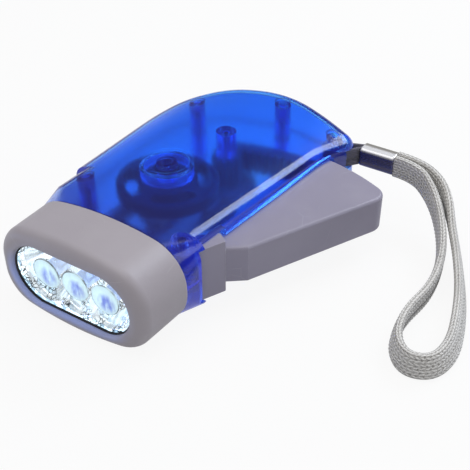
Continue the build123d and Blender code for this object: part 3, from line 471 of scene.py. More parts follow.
@dataclass(frozen=True)
class TintedShell(Finish):
    """Clear tinted plastic: its insides show, light gets in through it, and a faint glow is painted on it.

    The neck is painted greyer and darker as shade, painted shade darkens the lip over the lever's slot
    and the neck's corner, which also gets a painted glow, a dark line shows where the shells meet, rings
    of painted shade show where the posts and the hub touch the upper shell, and rings of painted glow
    lie round the hub.
    """

    painted_neck_shade: Colour = (0.2, 0.27, 0.6)
    neck_y: Span = (-42 * MM, -4 * MM)
    painted_shade_colour: Colour = (0.015, 0.1, 0.6)
    lip_top: Span = (22 * MM, 24.5 * MM)
    lip_bottom: Span = (13.5 * MM, 14.5 * MM)
    lip_x: Span = (6 * MM, 12 * MM)
    lip_end: Span = (34 * MM, 40 * MM)
    corner_x: Span = (20.5 * MM, 23.5 * MM)
    corner_y: Span = (-26.5 * MM, -28.5 * MM)
    seam_colour: Colour = (0.0, 0.005, 0.05)
    seam: Span = (0.084 * MM, 0.196 * MM)
    contact_shade_colour: Colour = (0.04, 0.015, 0.1)
    posts: tuple[Span, ...] = (
        (5.94 * MM, 45 * MM),
        (26.94 * MM, 40.9 * MM),
        (-19.5 * MM, 33.4 * MM),
        (-20 * MM, -21.1 * MM),
    )
    post_radius: float = 2.3 * MM
    post_line: float = 0.35 * MM
    hub_radius: float = 2.5 * MM
    hub_line: float = 0.5 * MM
    rib_radii: Span = (6.6 * MM, 7.8 * MM)
    rib_line: float = 0.16 * MM
    dust_colour: Colour = (0.4, 0.45, 0.6)
    painted_body_glow_colour: Colour = (0.028, 0.018, 0.14)
    painted_rib_glow_colour: Colour = (0.06, 0.25, 1.0)
    painted_corner_glow_colour: Colour = (0.02, 0.07, 1.0)
    shadow_tint: Colour = (0.25, 0.45, 1.0)
    corner_shade_share: float = 0.85
    painted_corner_glow_share: float = 0.26
    seam_share: float = 0.85
    contact_shade_share: float = 0.75

    def rings(self, paint: Paint, rings: list[Point], half_width: float) -> bpy.types.NodeSocket:
        """Mark rings on the upper shell.

        Args:
            paint: The material in the making.
            rings: Each ring's x, y and radius.
            half_width: Half the width of their lines.

        Returns:
            Their mask.
        """
        marks = [
            paint.effect(Effect.RING, Middle_X=x, Middle_Y=y, Radius=radius, Half_width=half_width)["Mask"]
            for x, y, radius in rings
        ]
        return paint.most(*marks, 0.0)

    def cover(self, paint: Paint) -> None:
        """Add the tints, the painted shade and marks, the gloss and the painted glow.

        Args:
            paint: The material in the making.
        """
        grain = paint.effect(Effect.GRAIN, Scale=1800.0, Mottle_scale=35.0)
        scuffs = paint.effect(Effect.SCUFFS, Scale=120.0, Width=0.004)["Mask"]
        dust = paint.effect(Effect.DUST, Amount=0.1, Speck_scale=1300.0)["Mask"]
        x, y, z = paint.parts()
        mottle = tuple(channel * 0.95 for channel in self.colour)
        base = paint.blend(grain["Mottle"], self.colour, mottle)
        # Painted shade: the neck is blended to a greyer, darker blue.
        base = paint.blend(paint.remap(y, *self.neck_y, 1.0, 0.0), base, self.painted_neck_shade)
        # Painted shade: the lip over the lever's slot and the neck's corner are darkened.
        lip = paint.times(
            paint.remap(z, *self.lip_top, 1.0, 0.0),
            paint.remap(z, *self.lip_bottom),
            paint.remap(x, *self.lip_x),
            paint.remap(y, *self.lip_end, 1.0, 0.0),
        )
        corner = paint.times(paint.remap(x, *self.corner_x), paint.remap(y, *self.corner_y))
        base = paint.blend(paint.most(lip, paint.times(corner, self.corner_shade_share)), base, self.painted_shade_colour)
        seam = paint.remap(paint.sum("ABSOLUTE", paint.less(z, MIDDLE_Z)), *self.seam, 1.0, 0.0)
        base = paint.blend(paint.times(seam, self.seam_share), base, self.seam_colour)
        # Painted shade: dark rings where the posts and the hub meet the upper shell.
        posts = self.rings(paint, [(*post, self.post_radius) for post in self.posts], self.post_line)
        hub = self.rings(paint, [(*HUB, self.hub_radius)], self.hub_line)
        base = paint.blend(paint.times(paint.most(posts, hub), self.contact_shade_share), base, self.contact_shade_colour)
        rough = paint.remap(grain["Mottle"], 0.0, 1.0, self.roughness, self.roughness + 0.04)
        # Painted glow, as emission: lighter rings round the hub, a faint glow over the shell, a brighter one at the
        # neck's corner.
        painted_rib_glow_mask = self.rings(paint, [(*HUB, radius) for radius in self.rib_radii], self.rib_line)
        painted_rib_glow_mask = paint.times(painted_rib_glow_mask, paint.remap(paint.noise(160.0)[0], 0.4, 0.6, 0.15))
        glow = paint.blend(painted_rib_glow_mask, self.painted_body_glow_colour, self.painted_rib_glow_colour)
        paint.look({
            "Base Color": paint.blend(paint.times(dust, 0.5), base, self.dust_colour),
            "Roughness": paint.plus(rough, paint.times(scuffs, 0.03)),
            "Transmission Weight": 0.998,
            "IOR": 1.28,
            "Specular IOR Level": 0.2,
            "Coat Weight": 0.5,
            "Coat Roughness": 0.07,
            "Emission Color": paint.blend(paint.times(corner, self.painted_corner_glow_share), glow, self.painted_corner_glow_colour),
            "Emission Strength": 0.3,
        })
        paint.bump(grain["Height"], 0.008 * MM)
        paint.pass_light(self.shadow_tint)


@dataclass(frozen=True)
class ClearWindow(Finish):
    """A clear flat window, lightly scuffed."""

    def cover(self, paint: Paint) -> None:
        """Add the scuffs and the clearness.

        Args:
            paint: The material in the making.
        """
        scuffs = paint.effect(Effect.SCUFFS, Scale=260.0, Width=0.006)["Mask"]
        rough = paint.plus(paint.times(scuffs, 0.2), self.roughness)
        paint.look({"Roughness": rough, "Transmission Weight": 1.0, "IOR": 1.35})
        paint.pass_light()


@dataclass(frozen=True)
class Resin(Finish):
    """The clear resin of a lamp, glowing from inside."""

    glow_colour: Colour = (0.35, 0.5, 0.9)
    bright_colour: Colour = (0.9, 0.96, 1.0)

    def cover(self, paint: Paint) -> None:
        """Add the clearness and the rippled glow.

        Args:
            paint: The material in the making.
        """
        ripple = paint.effect(Effect.STREAKS, Stretch=(500.0, 120.0, 500.0))
        glow = paint.blend(ripple["Shade"], self.glow_colour, self.bright_colour)
        paint.look({"Transmission Weight": 0.55, "IOR": 1.5, "Emission Color": glow, "Emission Strength": 0.3})


@dataclass(frozen=True)
class BullsEye(Finish):
    """A small convex lens with light painted on as colour and emission: a pale glow outside, a blue glow in the middle,
    painted shade at its edge.
    """

    painted_pupil_glow: Colour = (0.36, 0.46, 0.8)
    painted_pale_glow: Colour = (0.8, 0.93, 0.97)
    painted_edge_shade: Colour = (0.08, 0.1, 0.13)
    pupil_shift: Span = (0.12 * EYE_RADIUS, 0.2 * EYE_RADIUS)
    pupil_span: Span = (0.3 * EYE_RADIUS, 0.75 * EYE_RADIUS)
    edge_span: Span = (0.93 * EYE_RADIUS, 0.99 * EYE_RADIUS)

    def cover(self, paint: Paint) -> None:
        """Paint the glow and the shaded edge round each lamp's middle.

        Args:
            paint: The material in the making.
        """
        place = paint.parts()
        feeds = {0: place[0], 1: LAMP_PITCH / 2, 2: -LAMP_PITCH / 2}
        x = paint.add("ShaderNodeMath", feeds, operation="WRAP").outputs[0]
        z = paint.less(place[2], MIDDLE_Z)
        ripple = paint.effect(Effect.STREAKS, Stretch=(700.0, 260.0, 260.0))
        right, down = self.pupil_shift
        drop = paint.reach(paint.less(x, right), paint.plus(z, down))
        pupil = paint.remap(drop, *self.pupil_span, 1.0, 0.0)
        depth = paint.times(pupil, paint.remap(ripple["Height"], 0.35, 0.6, 0.1))
        edge = paint.remap(paint.reach(x, z), *self.edge_span)
        edge = paint.times(edge, paint.remap(paint.noise(260.0)[0], 0.42, 0.6, 0.15))
        # Painted light: this colour is also the emission: a pale glow, a blue glow in the middle, a painted dark edge.
        colour = paint.blend(edge, paint.blend(depth, self.painted_pale_glow, self.painted_pupil_glow), self.painted_edge_shade)
        paint.look({"Base Color": colour, "Emission Color": colour, "Emission Strength": 0.3})
        paint.look({"Transmission Weight": 0.3, "IOR": 1.3})


@dataclass(frozen=True)
class Metal(Finish):
    """Bare or plated metal with drawn streaks and bright worn edges."""

    stretch: Point = (60.0, 2500.0, 2500.0)
    shade_colour: Colour = (0.4, 0.4, 0.42)
    depth: float = 0.008 * MM
    metallic: float = 1.0

    def cover(self, paint: Paint) -> None:
        """Add the streaks and the wear.

        Args:
            paint: The material in the making.
        """
        streaks = paint.effect(Effect.STREAKS, Stretch=self.stretch)
        wear = paint.effect(Effect.WEAR, Radius=0.2 * MM, Break_up=1500.0)["Mask"]
        base = paint.blend(streaks["Shade"], self.colour, self.shade_colour)
        bright = tuple(min(1.0, channel * 1.25) for channel in self.colour)
        rough = paint.remap(streaks["Height"], 0.3, 0.7, self.roughness, self.roughness + 0.12)
        paint.look({"Base Color": paint.blend(wear, base, bright), "Roughness": rough, "Metallic": self.metallic})
        paint.bump(streaks["Height"], self.depth)


@dataclass(frozen=True)
class Foil(Finish):
    """A crumpled metallised mirror: bright flakes, thin dark lines where they meet, and lamp light painted on the
    flakes as emission.
    """

    flake_tone_and_painted_band: Colour = (0.62, 0.72, 0.8)
    line_colour: Colour = (0.05, 0.08, 0.1)
    painted_lit_colour: Colour = (0.85, 0.95, 1.0)
    painted_dim_colour: Colour = (0.35, 0.5, 0.62)

    def cover(self, paint: Paint) -> None:
        """Add the flakes, their lines, and lamp light painted on them as emission.

        Args:
            paint: The material in the making.
        """
        flakes = paint.effect(Effect.FLAKES, Scale=900.0, Width=0.05)
        tone = paint.blend(flakes["Flake"], self.colour, self.flake_tone_and_painted_band)
        lit = paint.blend(flakes["Flake"], self.painted_lit_colour, self.painted_dim_colour)
        # Painted light: each flake glows by emission, lit or dim, with no glow on the lines.
        paint.look({
            "Base Color": paint.blend(flakes["Line"], tone, self.line_colour),
            "Emission Color": paint.blend(flakes["Line"], lit, (0.0, 0.0, 0.0)),
            "Emission Strength": 0.5,
            "Metallic": 1.0,
        })
        paint.bump(flakes["Flake"], 0.008 * MM)


@dataclass(frozen=True)
class ReflectionPaintedTube(Finish):
    """Plated tube with painted light: a painted highlight and darker painted bands on top, and painted dark blue and
    brown shade down its sides.
    """

    painted_dark_side: Colour = (0.05, 0.06, 0.19)
    painted_brown_shade: Colour = (0.11, 0.1, 0.15)
    flake_tone_and_painted_band: Colour = (0.36, 0.34, 0.31)
    painted_band_y: Span = (46.3 * MM, 47.3 * MM)
    painted_dark_band_y: Span = (48.5 * MM, 49.1 * MM)

    def cover(self, paint: Paint) -> None:
        """Add the painted bands on top, the streaks, and the painted shade down the sides.

        Args:
            paint: The material in the making.
        """
        streaks = paint.effect(Effect.STREAKS, Stretch=(45.0, 1500.0, 1500.0))
        # Painted light: faces turned up get the bright top and its painted bands, the sides a painted dark blue and
        # brown.
        painted_top_highlight = paint.remap(paint.upward(), 0.3, 0.75)
        y = paint.parts()[1]
        top = paint.blend(paint.remap(y, *self.painted_band_y), self.colour, self.flake_tone_and_painted_band)
        top = paint.blend(paint.remap(y, *self.painted_dark_band_y), top, self.painted_brown_shade)
        sides = paint.blend(streaks["Shade"], self.painted_dark_side, self.painted_brown_shade)
        paint.look({
            "Base Color": paint.blend(painted_top_highlight, sides, top),
            "Roughness": paint.remap(streaks["Height"], 0.3, 0.7, self.roughness, self.roughness + 0.14),
            "Metallic": paint.remap(painted_top_highlight, 0.0, 1.0, 0.75, 0.35),
        })
        paint.bump(streaks["Height"], 0.01 * MM)


@dataclass(frozen=True)
class Webbing(Finish):
    """Braided cloth strap."""

    shade_colour: Colour = (0.22, 0.21, 0.19)
    speck_colour: Colour = (0.1, 0.09, 0.08)
    column: float = 0.9 * MM
    strand: float = 1.3 * MM

    def cover(self, paint: Paint) -> None:
        """Add the strands, their shadows, specks and sheen.

        Args:
            paint: The material in the making.
        """
        braid = paint.effect(Effect.BRAID, Column=self.column, Strand=self.strand)
        grain = paint.effect(Effect.GRAIN, Scale=3000.0, Mottle_scale=90.0)
        slow = paint.blend(paint.times(grain["Mottle"], 0.25), self.colour, self.shade_colour)
        valleys = paint.remap(braid["Shade"], 0.15, 0.6, 0.65, 0.0)
        woven = paint.blend(valleys, slow, self.shade_colour)
        specks = paint.times(braid["Specks"], 0.6)
        paint.look({
            "Base Color": paint.blend(specks, woven, self.speck_colour),
            "Sheen Weight": 0.25,
            "Sheen Roughness": 0.5,
        })
        paint.bump(braid["Height"], 0.12 * MM)


# ---------------------------------------------------------------- studio


@dataclass(frozen=True)
class Lamp:
    """One soft area light.

    Args:
        name: Its name.
        place: Where it stands, in metres.
        size: Its width and height, in metres.
        power: Its power in watts.
        colour: Its colour.
    """

    name: str
    place: Point
    size: Span
    power: float
    colour: Colour = WHITE


@dataclass
class Studio:
    """The floor, the world, the lights and the camera."""

    look_at: Point = (0.022353, -0.008516, 0.014)
    camera_place: Point = (0.12726, -0.17006, 0.15394)
    lens: float = 65.1
    sensor: float = 36.0
    half_floor: float = 4.0
    paper: Colour = (0.62, 0.62, 0.62)
    floor_white: float = 0.91
    floor_through: float = 1.12
    floor_gloss: float = 0.5
    far_through: float = 0.3
    backdrop_white: float = 0.957
    cool_light: Colour = (0.8, 0.84, 1.0)
    warm_light: Colour = (1.0, 0.98, 0.96)
    lamps: tuple[Lamp, ...] = (
        Lamp("overhead_box", (-0.05, -0.02, 0.55), (0.5, 0.5), 1.1),
        Lamp("rear_right_box", (0.17, 0.42, 0.44), (0.34, 0.26), 1.95, (0.8, 0.87, 1.0)),
        Lamp("front_fill", (0.05, -0.6, 0.35), (0.5, 0.3), 0.14),
        Lamp("low_left_fill", (-0.4, -0.3, 0.06), (0.3, 0.12), 0.28, (0.45, 0.58, 1.0)),
        Lamp("right_box", (0.5, 0.04, 0.37), (0.2, 0.24), 0.4, (0.85, 0.9, 1.0)),
    )

    def build(self) -> None:
        """Make everything that isn't part of the light."""
        self._floor()
        self._world()
        for lamp in self.lamps:
            self._lamp(lamp)
        self._camera()

    def _stand(self, name: str, data: bpy.types.ID, place: Point) -> bpy.types.Object:
        """Put a camera or a lamp in the scene.

        Args:
            name: Its name.
            data: The camera or the light.
            place: Where it stands, in metres.

        Returns:
            The object, turned to the flashlight.
        """
        thing = bpy.data.objects.new(name, data)
        bpy.context.scene.collection.objects.link(thing)
        thing.location = place
        thing.rotation_euler = (Vector(self.look_at) - Vector(place)).to_track_quat("-Z", "Y").to_euler()
        return thing

    def _floor(self) -> None:
        """A large pale floor that shows white and keeps the object's shadow."""
        mesh = bpy.data.meshes.new("floor")
        half = self.half_floor
        mesh.from_pydata([(-half, -half, 0), (half, -half, 0), (half, half, 0), (-half, half, 0)], [], [(0, 1, 2, 3)])
        floor = bpy.data.objects.new("floor", mesh)
        bpy.context.scene.collection.objects.link(floor)
        material = bpy.data.materials.new("floor_paper")
        material.use_nodes = True
        sheet = NodeSheet(material.node_tree)
        path = sheet.add("ShaderNodeLightPath").outputs
        through = sheet.times(path["Is Transmission Ray"], self.floor_through)
        seen = sheet.most(path["Is Camera Ray"], sheet.times(path["Is Glossy Ray"], self.floor_gloss), through)
        paper = sheet.add("ShaderNodeBsdfDiffuse", {0: self.paper}).outputs[0]
        white = sheet.add("ShaderNodeEmission", {0: WHITE, 1: 1.0}).outputs[0]
        share = sheet.times(seen, self.floor_white)
        both = sheet.add("ShaderNodeMixShader", {0: share, 1: paper, 2: white}).outputs[0]
        sheet.add("ShaderNodeOutputMaterial", {0: both})
        mesh.materials.append(material)

    def _world(self) -> None:
        """A plain world: white where it is seen or reflected low down, dimmer as a light."""
        world = bpy.data.worlds.new("studio")
        bpy.context.scene.world = world
        world.use_nodes = True
        sheet = NodeSheet(world.node_tree)
        path = sheet.add("ShaderNodeLightPath").outputs
        camera, through = path["Is Camera Ray"], path["Is Transmission Ray"]
        seen = sheet.most(camera, path["Is Glossy Ray"], through)
        rise = sheet.parts(sheet.add("ShaderNodeTexCoord").outputs["Generated"])[2]
        above = sheet.most(sheet.remap(rise, 0.02, 0.2, 1.0, 0.03), sheet.times(through, self.far_through))
        above = sheet.plus(sheet.times(camera, self.backdrop_white), sheet.times(sheet.less(1.0, camera), above))
        light = sheet.times(sheet.less(1.0, seen), sheet.remap(rise, -0.1, 0.7, 0.09, 0.6))
        strength = sheet.plus(sheet.times(above, seen), light)
        cool = sheet.blend(sheet.remap(rise, 0.0, 0.6), self.cool_light, self.warm_light)
        ground = sheet.add("ShaderNodeBackground", {0: sheet.blend(seen, cool, WHITE), 1: strength})
        sheet.add("ShaderNodeOutputWorld", {0: ground.outputs[0]})

    def _lamp(self, lamp: Lamp) -> None:
        """Make one area light that the camera doesn't see.

        Args:
            lamp: Its place, size, power and colour.
        """
        data = bpy.data.lights.new(lamp.name, "AREA")
        data.shape = "RECTANGLE"
        data.size, data.size_y = lamp.size
        data.energy = lamp.power
        data.color = lamp.colour
        self._stand(lamp.name, data, lamp.place).visible_camera = False

    def _camera(self) -> None:
        """The camera at the photograph's viewing angle."""
        data = bpy.data.cameras.new("camera")
        data.lens = self.lens
        data.sensor_width = self.sensor
        data.clip_start, data.clip_end = 0.01, 20.0
        bpy.context.scene.camera = self._stand("camera", data, self.camera_place)
        bpy.context.scene.view_settings.view_transform = "Standard"


# ---------------------------------------------------------------- mesh tools


def circle(middle: Vector, across: Vector, beside: Vector, radius: float, count: int) -> list[Vector]:
    """Points round a circle.

    Args:
        middle: Its middle.
        across: The direction of its first point.
        beside: The direction a quarter of a turn on.
        radius: Its radius, in metres.
        count: How many points it has.

    Returns:
        The points.
    """
    turns = [FULL_TURN * step / count for step in range(count)]
    return [middle + (across * math.cos(turn) + beside * math.sin(turn)) * radius for turn in turns]


def rounded(half_width: float, half_height: float, corner: float, count: int, shift: float = 0.0) -> list[Point]:
    """Points round a rectangle with rounded corners.

    Args:
        half_width: Half its width, in metres.
        half_height: Half its height.
        corner: Its corners' radius.
        count: How many points it has.
        shift: How far they are turned on, as a share of a step.

    Returns:
        Each point's place across and up, and its direction in radians.
    """
    points: list[Point] = []
    for step in range(count):
        turn = FULL_TURN * (step + shift) / count
        out, up = math.cos(turn), math.sin(turn)
        across = math.copysign(half_width - corner, out) + corner * out
        points.append((across, math.copysign(half_height - corner, up) + corner * up, turn))
    return points


def show(name: str, mesh: bpy.types.Mesh) -> bpy.types.Object:
    """Put a mesh in the scene, shaded smooth.

    Args:
        name: The piece's name.
        mesh: Its mesh.

    Returns:
        The piece.
    """
    mesh.polygons.foreach_set("use_smooth", [True] * len(mesh.polygons))
    piece = bpy.data.objects.new(name, mesh)
    bpy.context.scene.collection.objects.link(piece)
    return piece


class Loft:
    """Rings of points that are joined into the mesh of one piece."""

    def __init__(self) -> None:
        """Start with no points and no faces."""
        self.verts: list[Vector] = []
        self.faces: list[tuple[int, ...]] = []

    def skin(self, rings: list[list[Vector]], closed: bool = False, tip: Vector | None = None) -> None:
        """Join rings that have equally many points.

        Args:
            rings: The rings, in order.
            closed: Whether the last joins the first. If not, both ends are capped.
            tip: A point that the last ring runs to, in place of a flat cap.
        """
        first, around, rows = len(self.verts), len(rings[0]), len(rings)
        self.verts += [vert for ring in rings for vert in ring]
        for row in range(rows if closed else rows - 1):
            here, there = first + row * around, first + (row + 1) % rows * around
            for step in range(around):
                after = (step + 1) % around
                self.faces.append((here + step, here + after, there + after, there + step))
        if closed:
            return
        self.faces.append(tuple(reversed(range(first, first + around))))
        last = range(first + (rows - 1) * around, first + rows * around)
        if tip is None:
            self.faces.append(tuple(last))
        else:
            self.faces += [(vert, last[(step + 1) % around], len(self.verts)) for step, vert in enumerate(last)]
            self.verts.append(tip)

    def piece(self, name: str) -> bpy.types.Object:
        """Make the piece, with its faces turned outward.

        Args:
            name: The piece's name.

        Returns:
            The piece, in the scene.
        """
        mesh = bpy.data.meshes.new(name)
        mesh.from_pydata([tuple(vert) for vert in self.verts], [], self.faces)
        mesh.validate()
        work = bmesh.new()
        work.from_mesh(mesh)
        bmesh.ops.recalc_face_normals(work, faces=work.faces)
        work.to_mesh(mesh)
        work.free()
        return show(name, mesh)


def dress(effects: Effects, finish: Finish, *nodes: str) -> None:
    """Give CAD nodes one finish and report them.

    Args:
        effects: The shared effects.
        finish: The finish.
        nodes: The nodes' names.
    """
    material = finish.make(effects)
    for node in nodes:
        fit(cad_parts[node], material)
        log.info("%s: %s", node, material.name)


def fit(piece: bpy.types.Object, material: bpy.types.Material) -> None:
    """Give a piece one material."""
    piece.data.materials.clear()
    piece.data.materials.append(material)


def settle(piece: bpy.types.Object, material: bpy.types.Material, node: str = "") -> None:
    """Finish a piece that is fixed to the body, and report it.

    Args:
        piece: The piece.
        material: Its material.
        node: The CAD node that it stands for, if any.
    """
    fit(piece, material)
    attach(piece, "body")
    if node:
        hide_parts(node)
    log.info("%s: %d faces", piece.name, len(piece.data.polygons))


def spline_points(name: str, route: tuple[Point, ...]) -> list[Vector]:
    """Points along a route's smooth NURBS spline.

    Args:
        name: The curve's name.
        route: The spline's control points.

    Returns:
        The points that the curve has with no bevel.
    """
    curve = bpy.data.curves.new(name, "CURVE")
    curve.dimensions = "3D"
    curve.resolution_u = SPLINE_STEPS
    spline = curve.splines.new("NURBS")
    spline.points.add(len(route) - 1)
    for point, place in zip(spline.points, route):
        point.co = (*place, 1.0)
    spline.order_u = 3
    spline.use_endpoint_u = True
    spline.resolution_u = SPLINE_STEPS
    holder = bpy.data.objects.new(name, curve)
    bpy.context.scene.collection.objects.link(holder)
    bpy.context.view_layer.update()
    mesh = bpy.data.meshes.new_from_object(holder)
    points = [vert.co.copy() for vert in mesh.vertices]
    bpy.data.objects.remove(holder)
    bpy.data.meshes.remove(mesh)
    return points


def evenly(points: list[Vector], step: float) -> list[Vector]:
    """The same line with its points a step apart.

    Args:
        points: The line.
        step: The distance from one new point to the next, in metres.

    Returns:
        The new points, with the line's own ends.
    """
    lengths = [(end - start).length for start, end in zip(points, points[1:])]
    total = sum(lengths)
    count = max(2, round(total / step))
    result: list[Vector] = []
    run, index = 0.0, 0
    for mark in (total * number / count for number in range(count + 1)):
        while index < len(lengths) - 1 and run + lengths[index] < mark:
            run += lengths[index]
            index += 1
        part = min(1.0, (mark - run) / (lengths[index] or 1.0))
        result.append(points[index].lerp(points[index + 1], part))
    return result


def wire(name: str, line: list[Vector], radius: float, sides: int = 10) -> bpy.types.Object:
    """A round wire along a line, with softened ends.

    Args:
        name: The piece's name.
        line: The points of its middle line.
        radius: The wire's radius, in metres.
        sides: How many sides its section has.

    Returns:
        The wire.
    """
    first, last = (line[1] - line[0]).normalized(), (line[-1] - line[-2]).normalized()
    reach = radius * WIRE_END_REACH
    stations = [(line[0] - first * reach, WIRE_END_WIDTH), *((point, 1.0) for point in line)]
    stations.append((line[-1] + last * reach, WIRE_END_WIDTH))
    across = first.orthogonal().normalized()
    rings: list[list[Vector]] = []
    for index, (point, share) in enumerate(stations):
        after = stations[min(index + 1, len(stations) - 1)][0]
        ahead = (after - stations[max(index - 1, 0)][0]).normalized()
        across = (across - ahead * across.dot(ahead)).normalized()
        rings.append(circle(point, across, ahead.cross(across), radius * share, sides))
    loft = Loft()
    loft.skin(rings)
    return loft.piece(name)


@dataclass
class Ribbon:
    """A flat band on its edge that follows a line.

    Args:
        name: The piece's name.
        line: The points of its middle line, evenly spaced.
        width: Its height on edge, in metres.
        thickness: Its thickness, in metres.
        column: The width of one column of its braid.
        strand: The pitch of the strands along it.
        relief: How high the braid stands.
        closed: Whether the band joins its own start.
        around: How many points its section has.
        leans: How far it leans into the loop, in degrees, at shares of its length.
        flank_power: How round its flanks are, where 1 is an ellipse.
        edge_power: How round its edges are, where 1 is an ellipse.
        flank_from: Where its flanks begin, as a share of its thickness from its middle.
    """

    name: str
    line: list[Vector]
    width: float
    thickness: float
    column: float = 0.9 * MM
    strand: float = 1.3 * MM
    relief: float = 0.24 * MM
    closed: bool = False
    around: int = 44
    leans: tuple[Span, ...] = ((0.0, 0.0), (1.0, 0.0))
    flank_power: float = 0.42
    edge_power: float = 0.62
    flank_from: float = 0.3

    def lean(self, share: float) -> float:
        """How far the band leans at a share of its length.

        Args:
            share: The share of its length, from 0 to 1.

        Returns:
            The lean, in radians.
        """
        for (low, first), (high, second) in zip(self.leans, self.leans[1:]):
            if share <= high:
                part = (share - low) / (high - low)
                return math.radians(first + (second - first) * part * part * (3 - 2 * part))
        return math.radians(self.leans[-1][1])

    def section(self) -> list[Point]:
        """The band's outline.

        Returns:
            Each point's offset across, its height, and its distance round the outline, in metres.
        """
        outline: list[Point] = []
        run = 0.0
        for step in range(self.around):
            out, up = math.cos(FULL_TURN * step / self.around), math.sin(FULL_TURN * step / self.around)
            across = math.copysign(abs(out) ** self.flank_power, out) * self.thickness / 2
            high = math.copysign(abs(up) ** self.edge_power, up) * self.width / 2
            if outline:
                run += math.hypot(across - outline[-1][0], high - outline[-1][1])
            outline.append((across, high, run))
        return outline

    def axes(self, index: int) -> tuple[Vector, Vector]:
        """The band's own directions at one point of its line.

        Args:
            index: The point's number.

        Returns:
            The directions across the band and up it.
        """
        count = len(self.line)
        before = self.line[index - 1 if self.closed or index else 0]
        after = self.line[(index + 1) % count if self.closed or index < count - 1 else index]
        ahead = (after - before).normalized()
        side = Vector((ahead.y, -ahead.x, 0.0)).normalized()
        rise = side.cross(ahead).normalized()
        if rise.z < 0:
            rise.negate()
        lean = self.lean(index / (count - 1))
        return side * math.cos(lean) - rise * math.sin(lean), rise * math.cos(lean) + side * math.sin(lean)

    def build(self) -> bpy.types.Object:
        """Make the band, with the braid in its surface and in its UV map.

        Returns:
            The band.
        """
        section = self.section()
        rings: list[list[Vector]] = []
        maps: list[Span] = []
        run = 0.0
        for index, point in enumerate(self.line):
            side, rise = self.axes(index)
            lean = self.lean(index / (len(self.line) - 1))
            floor = self.width / 2 * math.cos(lean) + self.thickness / 2 * math.sin(lean)
            middle = Vector((point.x, point.y, max(point.z, floor)))
            if index:
                run += (point - self.line[index - 1]).length
            ring: list[Vector] = []
            for across, high, length in section:
                phase = run / self.strand + abs(length / self.column % 2 - 1)
                ridge = abs(math.sin(math.pi * length / self.column))
                strand = STRAND_SHARE * math.sin(FULL_TURN * phase) * ridge
                lift = self.relief * (RIDGE_SHARE * ridge + strand - SUNK_SHARE)
                flank = abs(across) > self.thickness * self.flank_from
                scale = 1 + lift / (self.thickness / 2) if flank else 1.0
                ring.append(middle + side * across * scale + rise * high)
                maps.append((run, length))
            rings.append(ring)
        loft = Loft()
        loft.skin(rings, closed=self.closed)
        piece = loft.piece(self.name)
        layer = piece.data.uv_layers.new(name="Along and across")
        for loop in piece.data.loops:
            layer.data[loop.index].uv = maps[loop.vertex_index]
        return piece


# ---------------------------------------------------------------- sub-assemblies


@dataclass
class Housing:
    """The two tinted shells, their screws, and the oiled felt round the hub."""

    shell: TintedShell = TintedShell("tinted_blue_shell", (0.09, 0.4, 1.0), 0.18)
    screw: Metal = Metal("plated_screw", (0.5, 0.5, 0.53), 0.28, stretch=(900.0, 900.0, 60.0))
    felt: MouldedPlastic = MouldedPlastic(
        "oil_felt", (0.012, 0.01, 0.014), 0.9, (0.03, 0.025, 0.03), (0.05, 0.05, 0.05), grain_depth=0.08 * MM
    )
    sleeve_radii: Span = (3.03 * MM, 3.5 * MM)
    sleeve_heights: Span = (24.6 * MM, 25.9 * MM)
    sleeve_rounding: float = 0.2 * MM
    sleeve_bulge: float = 0.1 * MM
    sleeve_sides: int = 40

    def sleeve(self) -> bpy.types.Object:
        """The felt sleeve under the top shell.

        Returns:
            The sleeve.
        """
        inner, outer = self.sleeve_radii
        low, high = self.sleeve_heights
        soft = self.sleeve_rounding
        profile = [(inner, low), (outer - soft, low), (outer, low + soft)]
        profile += [(outer + self.sleeve_bulge, (low + high) / 2)]
        profile += [(outer, high - soft), (outer - soft, high), (inner, high)]
        loft = Loft()
        sides = self.sleeve_sides
        loft.skin([circle(Vector((*HUB, z)), RIGHT, BACK, radius, sides) for radius, z in profile], closed=True)
        return loft.piece("hub_felt_sleeve")

    def dress(self, effects: Effects) -> None:
        """Dress the shells and the screws, and build the sleeve.

        Args:
            effects: The shared effects.
        """
        dress(effects, self.shell, "housing_top", "housing_bottom")
        dress(effects, self.screw, "housing_screws")
        settle(self.sleeve(), self.felt.make(effects))


